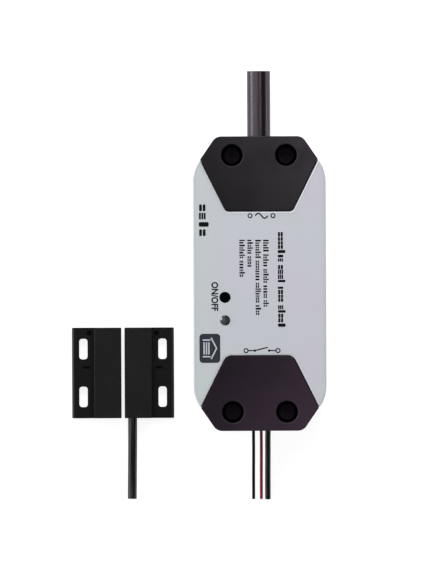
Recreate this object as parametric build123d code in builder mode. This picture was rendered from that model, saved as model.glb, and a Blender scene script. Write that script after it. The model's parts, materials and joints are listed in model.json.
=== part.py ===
from build123d import *
import math
import os

os.makedirs("parts", exist_ok=True)

# All lengths are in millimetres. The controller lies on its base with its face up: +Y runs
# from the output end to the mains end, and the origin is the middle of the base face.

# Cutting and fits
overrun = 1.0
seam_gap = 0.25
thread_gap = 0.05
slide_gap = 0.08
lamp_gap = 0.1
clamp_gap = 0.05
board_gap = 0.6
component_gap = 0.75
headroom = 0.6

# Walls of the casing
wall = 1.8
floor_thickness = 2.0
roof_thickness = 1.8
cover_wall = 1.6

# What the casing is built round
relay_length = 19.0
relay_width = 15.2
relay_height = 15.0
transformer_length = 13.0
transformer_width = 13.5
transformer_height = 12.0
radio_board_width = 13.5
varistor_thickness = 3.0
hall_aisle = 2.6
capacitor_diameter = 6.3
capacitor_height = 11.0
board_standoff = 3.0
board_thickness = 1.6
parting_above_board = 2.4

# Casing outline, wide enough for the radio board, the varistor and the transformer in a row
hall_row = radio_board_width + varistor_thickness + transformer_width + 2 * hall_aisle
case_width = hall_row + 2 * (wall + board_gap + component_gap)
end_width_share = 0.6506
shoulder_length = 10.6
side_radius = 11.0
end_radius = 3.2
face_edge_radius = 0.45
ear_tip_radius = 0.4
base_edge_radius = 1.0
cover_length = 23.3
cover_tip_setback = 7.1
cover_inner_width_share = 0.4964
input_corner_radius = 1.4
output_corner_radius = 2.7
cover_edge_radius = 0.3

board_bottom = floor_thickness + board_standoff
board_top = board_bottom + board_thickness
roof_underside = board_top + relay_height + headroom
case_height = roof_underside + roof_thickness
hall_components = relay_length + capacitor_diameter + transformer_length
hall_length = 2 * (wall + seam_gap) + hall_components + 4 * component_gap
case_length = hall_length + 2 * cover_length
half_length = case_length / 2
half_width = case_width / 2
end_width = case_width * end_width_share
cover_inner_width = case_width * cover_inner_width_share
hall_inner_end = hall_length / 2 - wall - seam_gap
parting_height = board_top + parting_above_board

# Locating lip between the two shells
shadow_line_height = 0.4
shadow_line_depth = 0.25
lip_height = 1.4
lip_gap = 0.1
lip_length_share = 0.62

# Mains lead and the round opening that both ends have for it
lead_diameter = 7.3
lead_opening_gap = 0.15
lead_outside = 20.5
core_diameter = 2.7
core_spacing = 3.0
conductor_diameter = 1.2
core_bend_share = 0.25
lead_radius = lead_diameter / 2
opening_radius = lead_radius + lead_opening_gap
lead_height = parting_height
lead_cut_y = half_length + lead_outside

# Cover screws in their recesses
recess_diameter = 6.9
recess_depth = 12.0
recess_edge = 0.25
recess_wall = 1.15
recess_floor = 2.0
screw_setback = 5.9
screw_boss_gap = 0.1
cover_screw_head_diameter = 6.0
cover_screw_head_height = 2.2
cover_screw_diameter = 2.9
cover_screw_length = 8.0
cover_screw_clearance = 0.2
base_boss_radius = 3.2
rib_thickness = 1.6
recess_radius = recess_diameter / 2
cover_boss_radius = recess_radius + recess_wall
screw_spacing = 2 * (opening_radius + cover_boss_radius) + screw_boss_gap
screw_y = half_length - screw_setback
recess_floor_height = case_height - recess_depth
cover_boss_bottom = recess_floor_height - recess_floor

# Casing screws, put in from below
case_screw_diameter = 2.4
case_screw_length = 10.5
case_screw_head_diameter = 4.6
case_screw_head_height = 1.8
case_screw_head_depth = 2.5
case_screw_clearance = 0.15
case_screw_side = 4.85
case_screw_from_hall_end = 1.8
standoff_radius = 3.4
post_radius = 2.5
drive_slot_width = 0.8
drive_depth_share = 0.55
drive_length_share = 0.6
head_round_share = 0.3
screw_tip_share = 0.2
case_screw_x = half_width - case_screw_side
case_screw_y = hall_length / 2 + case_screw_from_hall_end
case_screw_places = [
    (side * case_screw_x, end * case_screw_y) for side in (-1, 1) for end in (-1, 1)
]

# Label on the face
label_thickness = 0.2
label_rim = 0.2
label_gap = 0.05
label_margin = face_edge_radius + label_rim

# Push button and status light
button_diameter = 3.34
button_side = 9.95
button_y = -4.26
button_proud = 0.2
button_travel = 0.4
button_flange_diameter = 5.2
button_flange_thickness = 1.0
button_flange_gap = 0.2
button_skirt = 1.0
button_edge = 0.3
light_diameter = 3.0
light_spacing = 7.2
light_proud = 0.4
light_flange_diameter = 3.8
light_flange_thickness = 1.0
light_body_height = 5.4
light_leg = 0.5
light_leg_spacing = 1.9
button_x = button_side - half_width
light_y = button_y - light_spacing
switch_size = 6.0
switch_height = 3.5
switch_stem_diameter = 3.2
switch_stem_depth = 1.5
switch_spare_travel = 0.3
button_flange_top = roof_underside - button_flange_gap
stem_top = button_flange_top - button_flange_thickness - button_skirt

# Terminal blocks
terminal_depth = 7.5
terminal_height = 10.0
terminal_gap = 0.3
terminal_side_wall = 1.75
terminal_entry = 2.9
terminal_entry_depth = 4.5
terminal_well_diameter = 3.0
terminal_well_depth = 4.0
terminal_screw_diameter = 2.7
terminal_screw_height = 1.8
terminal_slot_width = 0.5
terminal_reach_share = 0.8
terminal_well_back_share = 0.45
mains_pitch = 5.0
signal_pitch = 3.5
terminal_inner_y = hall_length / 2 + cover_wall + terminal_gap
terminal_outer_y = terminal_inner_y + terminal_depth
board_end_margin = 0.8
board_half_length = terminal_outer_y + board_end_margin

# Relay
relay_wall = 0.8
relay_base_thickness = 2.0
yoke_thickness = 1.2
yoke_width = 8.0
coil_diameter = 9.2
coil_flange_thickness = 0.8
coil_flange_overlap = 0.5
coil_height = 8.0
core_rod_diameter = 3.0
pole_diameter = 5.0
pole_thickness = 0.6
armature_thickness = 1.2
armature_seat_gap = 0.05
armature_pole_gap = 0.45
contact_blade_thickness = 0.25
contact_diameter = 2.4
contact_thickness = 0.8
contact_gap = 0.7
contact_post_width = 1.2
contact_end_gap = 0.9
relay_edge_gap = 1.2

# Small components
soft_edge_share = 0.1
varistor_diameter = 7.0
varistor_lift = 1.0
varistor_leg_diameter = 0.7
varistor_leg_spacing = 5.0
fuse_diameter = 2.1
fuse_length = 8.0
fuse_cap_length = 1.2
fuse_tube_share = 0.9
rectifier_length = 4.7
rectifier_width = 3.8
rectifier_height = 2.0
radio_board_length = 18.5
radio_board_thickness = 0.8
radio_shield_width = 11.5
radio_shield_length = 12.5
radio_shield_height = 2.2
bobbin_wall = 0.8
winding_inset = 1.4

# Door sensor: two handed units, side by side
sensor_length = 28.4
sensor_width = 15.5
sensor_spacing = 1.0
sensor_offset_x = 22.1
sensor_y = -27.8
block_width = 8.5
block_height = 7.0
flange_height = 2.8
sensor_edge_radius = 0.3
flange_edge_bevel = 0.6
slot_width = 2.6
slot_length = 6.4
slot_corner_radius = 0.9
slot_relief_length = 7.6
slot_relief_width = 2.85
slot_relief_height = 1.6
slot_pitch = 15.0
slot_edge_distance = 3.6
mark_depth = 0.2
mark_radius = 0.8
mark_from_end = 1.7
mark_from_block = 1.5
groove_length = 2.4
groove_width = 0.7
groove_from_block = 2.4
sensor_wall = 1.0
sensor_roof = 1.0
potting_recess = 0.4
sensor_lead_diameter = 2.85
sensor_lead_height = 3.5
sensor_lead_inside = 8.0
sensor_lead_gap = 0.05
sensor_lead_inset = sensor_wall + sensor_lead_diameter / 2 + sensor_lead_gap / 2
reed_diameter = 2.2
reed_length = 14.0
reed_wall = 0.3
reed_shift = 3.0
reed_wire_diameter = 0.5
reed_wire_length = 3.0
blade_width = 1.0
blade_thickness = 0.2
blade_overlap = 1.6
blade_gap = 0.15
magnet_length = 20.0
magnet_width = 4.5
magnet_height = 4.0
sensor_middle_x = -(half_width + sensor_offset_x)

# Output wires: thickness of each, then its route from the terminal block to its cut end
thin_wire_diameter = 0.95
red_wire_diameter = 0.95
pigtail_diameter = 1.75
pigtail_core_diameter = 0.8
pigtail_core_radius_share = 1.5
wire_conductor_diameter = 0.45
wire_entry_gap = 0.2

black_wire_route = [
    (-5.25, -32.35, 9.0),
    (-4.6, -36.4, 9.0),
    (-2.1, -41.6, 8.5),
    (-2.02, -47.8, 7.4),
    (-2.02, -54.0, 5.0),
    (-2.07, -60.0, 1.65),
    (-2.07, -67.5, 0.5),
]
red_wire_route = [
    (-1.75, -32.35, 9.0),
    (-1.2, -36.6, 9.0),
    (0.3, -41.8, 8.3),
    (0.4, -48.0, 7.0),
    (0.4, -54.0, 4.8),
    (0.35, -60.2, 1.7),
    (0.35, -67.5, 0.5),
]
pigtail_route = [
    (3.0, -36.4, 9.0),
    (2.6, -41.6, 8.6),
    (2.45, -47.6, 7.7),
    (2.45, -53.8, 5.6),
    (2.4, -60.2, 2.6),
    (2.4, -67.5, 1.0),
]
sensor_lead_route = [
    (0.0, sensor_lead_inside, 0.0),
    (0.0, -4.5, 0.0),
    (-0.15, -17.2, -1.9),
    (-0.24, -25.3, -2.05),
]


def end_plane(end, height):
    """Horizontal plane whose +Y points out of the mains end (1) or the output end (-1)."""
    return Plane(origin=(0, 0, height), x_dir=(end, 0, 0), z_dir=(0, 0, 1))


def route_radii(route):
    """Largest arc at each inner point that takes at most 0.45 of the shorter run beside it."""
    points = [Vector(*point) for point in route]
    radii = []
    for before, here, after in zip(points, points[1:], points[2:]):
        half_turn = math.radians((here - before).get_angle(after - here)) / 2
        shorter = min((here - before).length, (after - here).length)
        radii.append(0.45 * shorter / math.tan(half_turn))
    return radii


def make_wire(name, route, diameter):
    """Round wire swept along its route, with its radii and its length printed."""
    radii = route_radii(route)
    with BuildPart() as wire:
        with BuildLine() as line:
            FilletPolyline(*route, radius=radii)
        path = line.wires()[0]
        with BuildSketch(Plane(origin=path @ 0, z_dir=path % 0)):
            Circle(diameter / 2)
        sweep(path=path)
    section = math.pi * diameter**2 / 4
    shown = ", ".join(f"{radius:.1f}" for radius in radii)
    print(f"{name}: length {path.length:.1f}, radii {shown}, "
          f"volume {wire.part.volume:.2f} against {section * path.length:.2f}")
    return wire


# Outline of the whole casing, seen from above
shoulder_y = half_length - shoulder_length
outline_points = [
    (end_width / 2, half_length),
    (half_width, shoulder_y),
    (half_width, -shoulder_y),
    (end_width / 2, -half_length),
    (-end_width / 2, -half_length),
    (-half_width, -shoulder_y),
    (-half_width, shoulder_y),
    (-end_width / 2, half_length),
]
with BuildSketch() as case_outline:
    with BuildLine():
        Polyline(*outline_points, close=True)
    make_face()
    by_width = case_outline.vertices().group_by(Axis.X)
    fillet(by_width[0] + by_width[-1], side_radius)
    by_length = case_outline.vertices().group_by(Axis.Y)
    fillet(by_length[0] + by_length[-1], end_radius)

with BuildSketch() as case_cavity:
    add(case_outline.sketch)
    offset(amount=-wall)

# Area under the mains end cover, run out past the casing; the output end is the same turned
# half round
tip_half_width = (end_width + cover_tip_setback * (case_width - end_width) / shoulder_length) / 2
cover_inner_y = half_length - cover_length
seam_slope = (cover_length - cover_tip_setback) / (tip_half_width - cover_inner_width / 2)
area_half_width = half_width + overrun
area_side_y = cover_inner_y + seam_slope * (area_half_width - cover_inner_width / 2)
area_points = [
    (area_half_width, area_side_y + half_length),
    (area_half_width, area_side_y),
    (cover_inner_width / 2, cover_inner_y),
    (-cover_inner_width / 2, cover_inner_y),
    (-area_half_width, area_side_y),
    (-area_half_width, area_side_y + half_length),
]


def make_cover_area(corner_radius):
    """Area under a cover, with round corners where it meets the hall."""
    with BuildSketch() as area:
        with BuildLine():
            Polyline(*area_points, close=True)
        make_face()
        fillet(area.vertices().group_by(Axis.Y)[0], corner_radius)
    return area.sketch


def inside_casing(area):
    """The part of an area that lies inside the casing's outline."""
    with BuildSketch() as outline:
        add(case_outline.sketch)
        add(area, mode=Mode.INTERSECT)
    return outline.sketch


def grown(shape, amount):
    """Outline moved out by amount, or in where it is negative."""
    with BuildSketch() as outline:
        add(shape)
        offset(amount=amount)
    return outline.sketch


cover_areas = {1: make_cover_area(input_corner_radius), -1: make_cover_area(output_corner_radius)}
cover_outlines = {end: inside_casing(area) for end, area in cover_areas.items()}
cover_cavities = {end: grown(outline, -cover_wall) for end, outline in cover_outlines.items()}
cover_seats = {end: grown(area, seam_gap) for end, area in cover_areas.items()}

# What is left of the casing outline between the two covers
with BuildSketch() as top_outline:
    add(case_outline.sketch)
    add(cover_seats[1], mode=Mode.SUBTRACT)
    mirror(cover_seats[-1], about=Plane.XZ, mode=Mode.SUBTRACT)

with BuildSketch() as top_cavity:
    add(top_outline.sketch)
    offset(amount=-wall)

with BuildSketch() as label_recess:
    add(top_outline.sketch)
    offset(amount=-label_margin)

screw_places = [
    (side * screw_spacing / 2, end * screw_y) for side in (-1, 1) for end in (-1, 1)
]

# Bottom shell
with BuildPart() as bottom_shell:
    with BuildSketch():
        add(case_outline.sketch)
    extrude(amount=parting_height)
    fillet(bottom_shell.faces().sort_by(Axis.Z)[0].edges(), base_edge_radius)
    with BuildSketch(Plane.XY.offset(floor_thickness)):
        add(case_cavity.sketch)
    extrude(amount=parting_height, mode=Mode.SUBTRACT)
    # Rebate for the top shell's lip
    with BuildSketch(Plane.XY.offset(parting_height - lip_height - lip_gap)):
        add(case_outline.sketch)
        offset(amount=-wall / 2)
        Rectangle(case_width, case_length * lip_length_share, mode=Mode.INTERSECT)
    extrude(amount=lip_height + lip_gap + overrun, mode=Mode.SUBTRACT)
    # Bosses for the cover screws, with a rib between each pair that cradles a lead
    with BuildSketch(Plane.XY.offset(floor_thickness)):
        with Locations(*screw_places):
            Circle(base_boss_radius)
    extrude(amount=cover_boss_bottom - floor_thickness)
    with BuildSketch(Plane.XY.offset(floor_thickness)):
        with Locations((0, screw_y), (0, -screw_y)):
            Rectangle(screw_spacing, rib_thickness)
    extrude(amount=parting_height - floor_thickness)
    # Standoffs under the board, with the casing screws' heads sunk in from below
    with BuildSketch():
        with Locations(*case_screw_places):
            Circle(standoff_radius)
    extrude(amount=board_bottom)
    with BuildSketch():
        add(case_outline.sketch)
    extrude(amount=case_height, mode=Mode.INTERSECT)
    with BuildSketch():
        with Locations(*case_screw_places):
            Circle(case_screw_head_diameter / 2 + case_screw_clearance)
    extrude(amount=case_screw_head_depth, mode=Mode.SUBTRACT)
    with BuildSketch():
        with Locations(*case_screw_places):
            Circle(case_screw_diameter / 2 + case_screw_clearance)
    extrude(amount=board_bottom + overrun, mode=Mode.SUBTRACT)
    with BuildSketch(Plane.XY.offset(recess_floor_height - cover_screw_length - thread_gap)):
        with Locations(*screw_places):
            Circle(cover_screw_diameter / 2 + thread_gap)
    extrude(amount=case_height, mode=Mode.SUBTRACT)
    # Lead openings in both ends, and the round beds in the ribs
    with Locations((0, 0, lead_height)):
        Cylinder(
            lead_radius + clamp_gap, 2 * (half_length - wall) - overrun,
            rotation=(90, 0, 0), mode=Mode.SUBTRACT,
        )
    with Locations((0, half_length, lead_height), (0, -half_length, lead_height)):
        Cylinder(opening_radius, 2 * (wall + overrun), rotation=(90, 0, 0), mode=Mode.SUBTRACT)
    # Shadow line all round, below the top shell and the covers
    with BuildSketch(Plane.XY.offset(parting_height - shadow_line_height)):
        Rectangle(case_width + 2 * overrun, case_length + 2 * overrun)
        add(grown(case_outline.sketch, -shadow_line_depth), mode=Mode.SUBTRACT)
    extrude(amount=shadow_line_height + overrun, mode=Mode.SUBTRACT)

# Top shell
with BuildPart() as top_shell:
    with BuildSketch(Plane.XY.offset(parting_height)):
        add(top_outline.sketch)
    extrude(amount=case_height - parting_height)
    uprights = top_shell.edges().filter_by(Axis.Z).group_by(Axis.Y)
    fillet(uprights[0] + uprights[-1], ear_tip_radius)
    fillet(top_shell.faces().sort_by(Axis.Z)[-1].edges(), face_edge_radius)
    with BuildSketch(Plane.XY.offset(case_height - label_thickness)):
        add(label_recess.sketch)
    extrude(amount=overrun, mode=Mode.SUBTRACT)
    with BuildSketch(Plane.XY.offset(parting_height)):
        add(top_cavity.sketch)
    extrude(amount=roof_underside - parting_height, mode=Mode.SUBTRACT)
    # Lip that drops inside the bottom shell's wall
    with BuildSketch(Plane.XY.offset(parting_height - lip_height)):
        add(case_outline.sketch)
        offset(amount=-wall / 2 - lip_gap)
        add(case_cavity.sketch, mode=Mode.SUBTRACT)
        Rectangle(
            case_width, case_length * lip_length_share - 2 * lip_gap, mode=Mode.INTERSECT
        )
    extrude(amount=lip_height)
    # Posts that press the board down and take the casing screws
    with BuildSketch(Plane.XY.offset(board_top)):
        with Locations(*case_screw_places):
            Circle(post_radius)
    extrude(amount=roof_underside - board_top)
    with BuildSketch(Plane.XY.offset(board_top)):
        with Locations(*case_screw_places):
            Circle(case_screw_diameter / 2 + thread_gap)
    extrude(
        amount=case_screw_head_depth + case_screw_length + thread_gap - board_top,
        mode=Mode.SUBTRACT,
    )
    with BuildSketch(Plane.XY.offset(roof_underside)):
        with Locations((button_x, button_y)):
            Circle(button_diameter / 2 + slide_gap)
        with Locations((button_x, light_y)):
            Circle(light_diameter / 2 + lamp_gap)
    extrude(amount=roof_thickness + overrun, mode=Mode.SUBTRACT)

# Label let into the face, with holes for the button and the light
with BuildPart() as face_label:
    with BuildSketch(Plane.XY.offset(case_height - label_thickness)):
        add(top_outline.sketch)
        offset(amount=-label_margin - label_gap)
        with Locations((button_x, button_y)):
            Circle(button_diameter / 2 + slide_gap, mode=Mode.SUBTRACT)
        with Locations((button_x, light_y)):
            Circle(light_diameter / 2 + lamp_gap, mode=Mode.SUBTRACT)
    extrude(amount=label_thickness)


def make_cover(end):
    """Terminal cover with two deep screw recesses and a rib that presses on a lead."""
    places = [(side * screw_spacing / 2, screw_y) for side in (-1, 1)]
    with BuildPart() as cover:
        with BuildSketch(end_plane(end, parting_height)):
            add(cover_outlines[end])
        extrude(amount=case_height - parting_height)
        fillet(cover.faces().sort_by(Axis.Z)[-1].edges(), cover_edge_radius)
        with BuildSketch(end_plane(end, parting_height)):
            add(cover_cavities[end])
        extrude(amount=roof_underside - parting_height, mode=Mode.SUBTRACT)
        with BuildSketch(end_plane(end, cover_boss_bottom)):
            with Locations(*places):
                Circle(cover_boss_radius)
            add(cover_outlines[end], mode=Mode.INTERSECT)
        extrude(amount=roof_underside - cover_boss_bottom)
        with BuildSketch(end_plane(end, parting_height)):
            with Locations((0, screw_y)):
                Rectangle(screw_spacing - 2 * base_boss_radius, rib_thickness)
        extrude(amount=roof_underside - parting_height)
        with BuildSketch(end_plane(end, recess_floor_height)):
            with Locations(*places):
                Circle(recess_radius)
        extrude(amount=recess_depth + overrun, mode=Mode.SUBTRACT)
        with BuildSketch(end_plane(end, cover_boss_bottom - overrun)):
            with Locations(*places):
                Circle(cover_screw_diameter / 2 + cover_screw_clearance)
        extrude(amount=recess_floor + 2 * overrun, mode=Mode.SUBTRACT)
        rims = cover.edges().filter_by(GeomType.CIRCLE)
        rims = rims.filter_by_position(Axis.Z, case_height, case_height)
        chamfer([rim for rim in rims if rim.radius == recess_radius], recess_edge)
        with Locations((0, end * half_length, lead_height)):
            Cylinder(opening_radius, 2 * (cover_wall + overrun), rotation=(90, 0, 0),
                     mode=Mode.SUBTRACT)
        with Locations((0, end * screw_y, lead_height)):
            Cylinder(lead_radius + clamp_gap, 2 * rib_thickness, rotation=(90, 0, 0),
                     mode=Mode.SUBTRACT)
    return cover


input_cover = make_cover(1)
output_cover = make_cover(-1)


def make_screws(places, seat, head_diameter, head_height, diameter, length, up):
    """Group of cross-drive screws; up is 1 where the heads point up, -1 where they point down."""
    drive_length = head_diameter * drive_length_share
    drive_depth = head_height * drive_depth_share
    with BuildPart() as screws:
        with BuildSketch(Plane.XY.offset(seat)):
            with Locations(*places):
                Circle(head_diameter / 2)
        extrude(amount=up * head_height)
        crowns = screws.edges().filter_by(GeomType.CIRCLE)
        crowns = crowns.filter_by_position(
            Axis.Z, seat + up * head_height, seat + up * head_height
        )
        fillet(crowns, head_height * head_round_share)
        with BuildSketch(Plane.XY.offset(seat)):
            with Locations(*places):
                Circle(diameter / 2)
        extrude(amount=-up * length)
        tip_height = seat - up * length
        tip_edges = screws.edges().filter_by_position(Axis.Z, tip_height, tip_height)
        chamfer(tip_edges, diameter * screw_tip_share)
        with BuildSketch(Plane.XY.offset(seat + up * (head_height - drive_depth))):
            with Locations(*places):
                Rectangle(drive_length, drive_slot_width)
                Rectangle(drive_slot_width, drive_length)
        extrude(amount=up * (drive_depth + overrun), mode=Mode.SUBTRACT)
    return screws


cover_screws = make_screws(
    screw_places, recess_floor_height, cover_screw_head_diameter,
    cover_screw_head_height, cover_screw_diameter, cover_screw_length, 1,
)
case_screws = make_screws(
    case_screw_places, case_screw_head_depth, case_screw_head_diameter,
    case_screw_head_height, case_screw_diameter, case_screw_length, -1,
)

# Main board
with BuildPart() as main_board:
    with BuildSketch(Plane.XY.offset(board_bottom)):
        add(case_cavity.sketch)
        offset(amount=-board_gap)
        Rectangle(case_width, 2 * board_half_length, mode=Mode.INTERSECT)
        with Locations(*case_screw_places):
            Circle(case_screw_diameter / 2 + case_screw_clearance, mode=Mode.SUBTRACT)
    extrude(amount=board_thickness)

# Push button
with BuildPart() as button_cap:
    with BuildSketch(Plane.XY.offset(stem_top)):
        with Locations((button_x, button_y)):
            Circle(button_diameter / 2)
    extrude(amount=case_height + button_proud - stem_top)
    fillet(button_cap.faces().sort_by(Axis.Z)[-1].edges(), button_edge)
    with BuildSketch(Plane.XY.offset(button_flange_top - button_flange_thickness)):
        with Locations((button_x, button_y)):
            Circle(button_flange_diameter / 2)
    extrude(amount=button_flange_thickness)

with BuildPart() as switch_body:
    with BuildSketch(Plane.XY.offset(board_top)):
        with Locations((button_x, button_y)):
            RectangleRounded(switch_size, switch_size, switch_size * soft_edge_share)
    extrude(amount=switch_height)
    with BuildSketch(Plane.XY.offset(
        board_top + switch_height - switch_stem_depth - button_travel - switch_spare_travel
    )):
        with Locations((button_x, button_y)):
            Circle(switch_stem_diameter / 2 + slide_gap)
    extrude(amount=switch_height, mode=Mode.SUBTRACT)

with BuildPart() as switch_stem:
    with BuildSketch(Plane.XY.offset(board_top + switch_height - switch_stem_depth)):
        with Locations((button_x, button_y)):
            Circle(switch_stem_diameter / 2)
    extrude(amount=stem_top - board_top - switch_height + switch_stem_depth)

# Status light: a domed lens with a rim, on two legs
light_bottom = case_height + light_proud - light_body_height
with BuildPart() as status_light:
    with BuildSketch(Plane.XY.offset(light_bottom)):
        with Locations((button_x, light_y)):
            Circle(light_flange_diameter / 2)
    extrude(amount=light_flange_thickness)
    with BuildSketch(Plane.XY.offset(light_bottom)):
        with Locations((button_x, light_y)):
            Circle(light_diameter / 2)
    extrude(amount=light_body_height - light_diameter / 2)
    with Locations((button_x, light_y, light_bottom + light_body_height - light_diameter / 2)):
        Sphere(light_diameter / 2)

with BuildPart() as status_light_legs:
    with BuildSketch(Plane.XY.offset(board_top)):
        with Locations((button_x, light_y)):
            with GridLocations(light_leg_spacing, 0, 2, 1):
                Rectangle(light_leg, light_leg)
    extrude(amount=light_bottom - board_top)


def pole_places(poles, pitch):
    """Middle of each pole across a terminal block."""
    return [(pole - (poles - 1) / 2) * pitch for pole in range(poles)]


def make_terminal_body(end, poles, pitch):
    """Terminal block with a square wire entry and a round screw well for each pole."""
    width = (poles - 1) * pitch + 2 * (terminal_side_wall + terminal_screw_diameter / 4)
    well_y = terminal_inner_y + terminal_depth * terminal_well_back_share
    with BuildPart() as body:
        with BuildSketch(end_plane(end, board_top)):
            with Locations((0, terminal_inner_y + terminal_depth / 2)):
                Rectangle(width, terminal_depth)
        extrude(amount=terminal_height)
        with BuildSketch(end_plane(end, board_top + terminal_height - terminal_well_depth)):
            with Locations(*[(x, well_y) for x in pole_places(poles, pitch)]):
                Circle(terminal_well_diameter / 2)
        extrude(amount=terminal_well_depth + overrun, mode=Mode.SUBTRACT)
        with BuildSketch(end_plane(end, lead_height - terminal_entry / 2)):
            with Locations(*[
                (x, terminal_outer_y - terminal_entry_depth / 2 + overrun / 2)
                for x in pole_places(poles, pitch)
            ]):
                Rectangle(terminal_entry, terminal_entry_depth + overrun)
        extrude(amount=terminal_entry, mode=Mode.SUBTRACT)
    return body


def make_terminal_screws(end, poles, pitch):
    """Slotted clamp screws at the bottom of the wells."""
    well_y = terminal_inner_y + terminal_depth * terminal_well_back_share
    places = [(x, well_y) for x in pole_places(poles, pitch)]
    bottom = board_top + terminal_height - terminal_well_depth
    with BuildPart() as screws:
        with BuildSketch(end_plane(end, bottom)):
            with Locations(*places):
                Circle(terminal_screw_diameter / 2)
        extrude(amount=terminal_screw_height)
        with BuildSketch(end_plane(end, bottom + terminal_screw_height * (1 - drive_depth_share))):
            with Locations(*places):
                Rectangle(terminal_screw_diameter, terminal_slot_width)
        extrude(amount=terminal_screw_height, mode=Mode.SUBTRACT)
    return screws


mains_poles = 2
signal_poles = 4
input_terminal_body = make_terminal_body(1, mains_poles, mains_pitch)
input_terminal_screws = make_terminal_screws(1, mains_poles, mains_pitch)
output_terminal_body = make_terminal_body(-1, signal_poles, signal_pitch)
output_terminal_screws = make_terminal_screws(-1, signal_poles, signal_pitch)

# Mains lead: sheath, two insulated cores and their conductors, all cut square at the outer end
sheath_inner_y = screw_y - 2 * rib_thickness
core_span = sheath_inner_y - terminal_outer_y
core_turn_y = terminal_outer_y + core_span * (1 - core_bend_share)
core_settle_y = terminal_outer_y + core_span * core_bend_share


def make_core(side, radius, hollow, inner_y):
    """Round core from inside the terminal block to the cut end, bending where it fans out."""
    route = [
        (side * mains_pitch / 2, inner_y, lead_height),
        (side * mains_pitch / 2, core_settle_y, lead_height),
        (side * core_spacing / 2, core_turn_y, lead_height),
        (side * core_spacing / 2, lead_cut_y, lead_height),
    ]
    with BuildPart() as core:
        with BuildLine() as line:
            FilletPolyline(*route, radius=core_diameter)
        path = line.wires()[0]
        with BuildSketch(Plane(origin=path @ 0, z_dir=path % 0)):
            Circle(radius)
            if hollow:
                Circle(hollow, mode=Mode.SUBTRACT)
        sweep(path=path)
    return core


core_radius = core_diameter / 2
conductor_radius = conductor_diameter / 2
core_inner_y = terminal_outer_y + wire_entry_gap
conductor_inner_y = terminal_outer_y - terminal_entry_depth * terminal_reach_share
mains_live_core = make_core(-1, core_radius, conductor_radius, core_inner_y)
mains_neutral_core = make_core(1, core_radius, conductor_radius, core_inner_y)
live_conductor = make_core(-1, conductor_radius, 0, conductor_inner_y)
neutral_conductor = make_core(1, conductor_radius, 0, conductor_inner_y)
with BuildPart() as mains_conductors:
    add(live_conductor.part)
    add(neutral_conductor.part)

with BuildPart() as mains_sheath:
    with BuildSketch(Plane.XZ.offset(-lead_cut_y)):
        with Locations((0, lead_height)):
            Circle(lead_radius)
        with Locations((-core_spacing / 2, lead_height), (core_spacing / 2, lead_height)):
            Circle(core_radius, mode=Mode.SUBTRACT)
    extrude(amount=lead_cut_y - sheath_inner_y)

# Output wires
relay_wire_black = make_wire("relay_wire_black", black_wire_route, thin_wire_diameter)
relay_wire_red = make_wire("relay_wire_red", red_wire_route, red_wire_diameter)
sensor_pigtail = make_wire("sensor_pigtail", pigtail_route, pigtail_diameter)

# Stripped ends of the two relay wires, inside their poles
signal_places = pole_places(signal_poles, signal_pitch)
wire_reach = terminal_entry_depth * terminal_reach_share
with BuildPart() as relay_wire_ends:
    for route in (black_wire_route, red_wire_route):
        start_x, start_y, start_z = route[0]
        with BuildSketch(Plane.XZ.offset(-start_y - thread_gap)):
            with Locations((start_x, start_z)):
                Circle(wire_conductor_diameter / 2)
        extrude(amount=terminal_outer_y + start_y + thread_gap - wire_reach)

# The two cores that fan out of the sensor pigtail into their poles
pigtail_end_x, pigtail_end_y, pigtail_end_z = pigtail_route[0]
pigtail_span = -terminal_outer_y - pigtail_end_y
with BuildPart() as pigtail_cores:
    for side, pole_x in zip((-1, 1), signal_places[2:]):
        core_x = pigtail_end_x + side * pigtail_core_diameter / 2
        core_route = [
            (core_x, pigtail_end_y + thread_gap, pigtail_end_z),
            (core_x, pigtail_end_y + pigtail_span * core_bend_share, pigtail_end_z),
            (pole_x, -terminal_outer_y - pigtail_span * core_bend_share, pigtail_end_z),
            (pole_x, -terminal_outer_y + wire_reach, pigtail_end_z),
        ]
        with BuildLine() as core_line:
            FilletPolyline(*core_route, radius=pigtail_core_diameter * pigtail_core_radius_share)
        core_path = core_line.wires()[0]
        with BuildSketch(Plane(origin=core_path @ 0, z_dir=core_path % 0)):
            Circle(pigtail_core_diameter / 2)
        sweep(path=core_path)

# Relay, standing on the board in the output half of the hall
relay_x = half_width - wall - board_gap - component_gap - relay_width / 2
relay_y = -hall_inner_end + component_gap + relay_length / 2
relay_inner_bottom = board_top + relay_base_thickness
relay_top = board_top + relay_height
relay_roof = relay_top - relay_wall

with BuildPart() as relay_base:
    with BuildSketch(Plane.XY.offset(board_top)):
        with Locations((relay_x, relay_y)):
            Rectangle(relay_width, relay_length)
    extrude(amount=relay_base_thickness)

with BuildPart() as relay_case:
    with BuildSketch(Plane.XY.offset(relay_inner_bottom)):
        with Locations((relay_x, relay_y)):
            Rectangle(relay_width, relay_length)
    extrude(amount=relay_height - relay_base_thickness)
    fillet(relay_case.faces().sort_by(Axis.Z)[-1].edges(), relay_wall / 2)
    with BuildSketch(Plane.XY.offset(relay_inner_bottom)):
        with Locations((relay_x, relay_y)):
            Rectangle(relay_width - 2 * relay_wall, relay_length - 2 * relay_wall)
    extrude(amount=relay_roof - relay_inner_bottom, mode=Mode.SUBTRACT)

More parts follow.
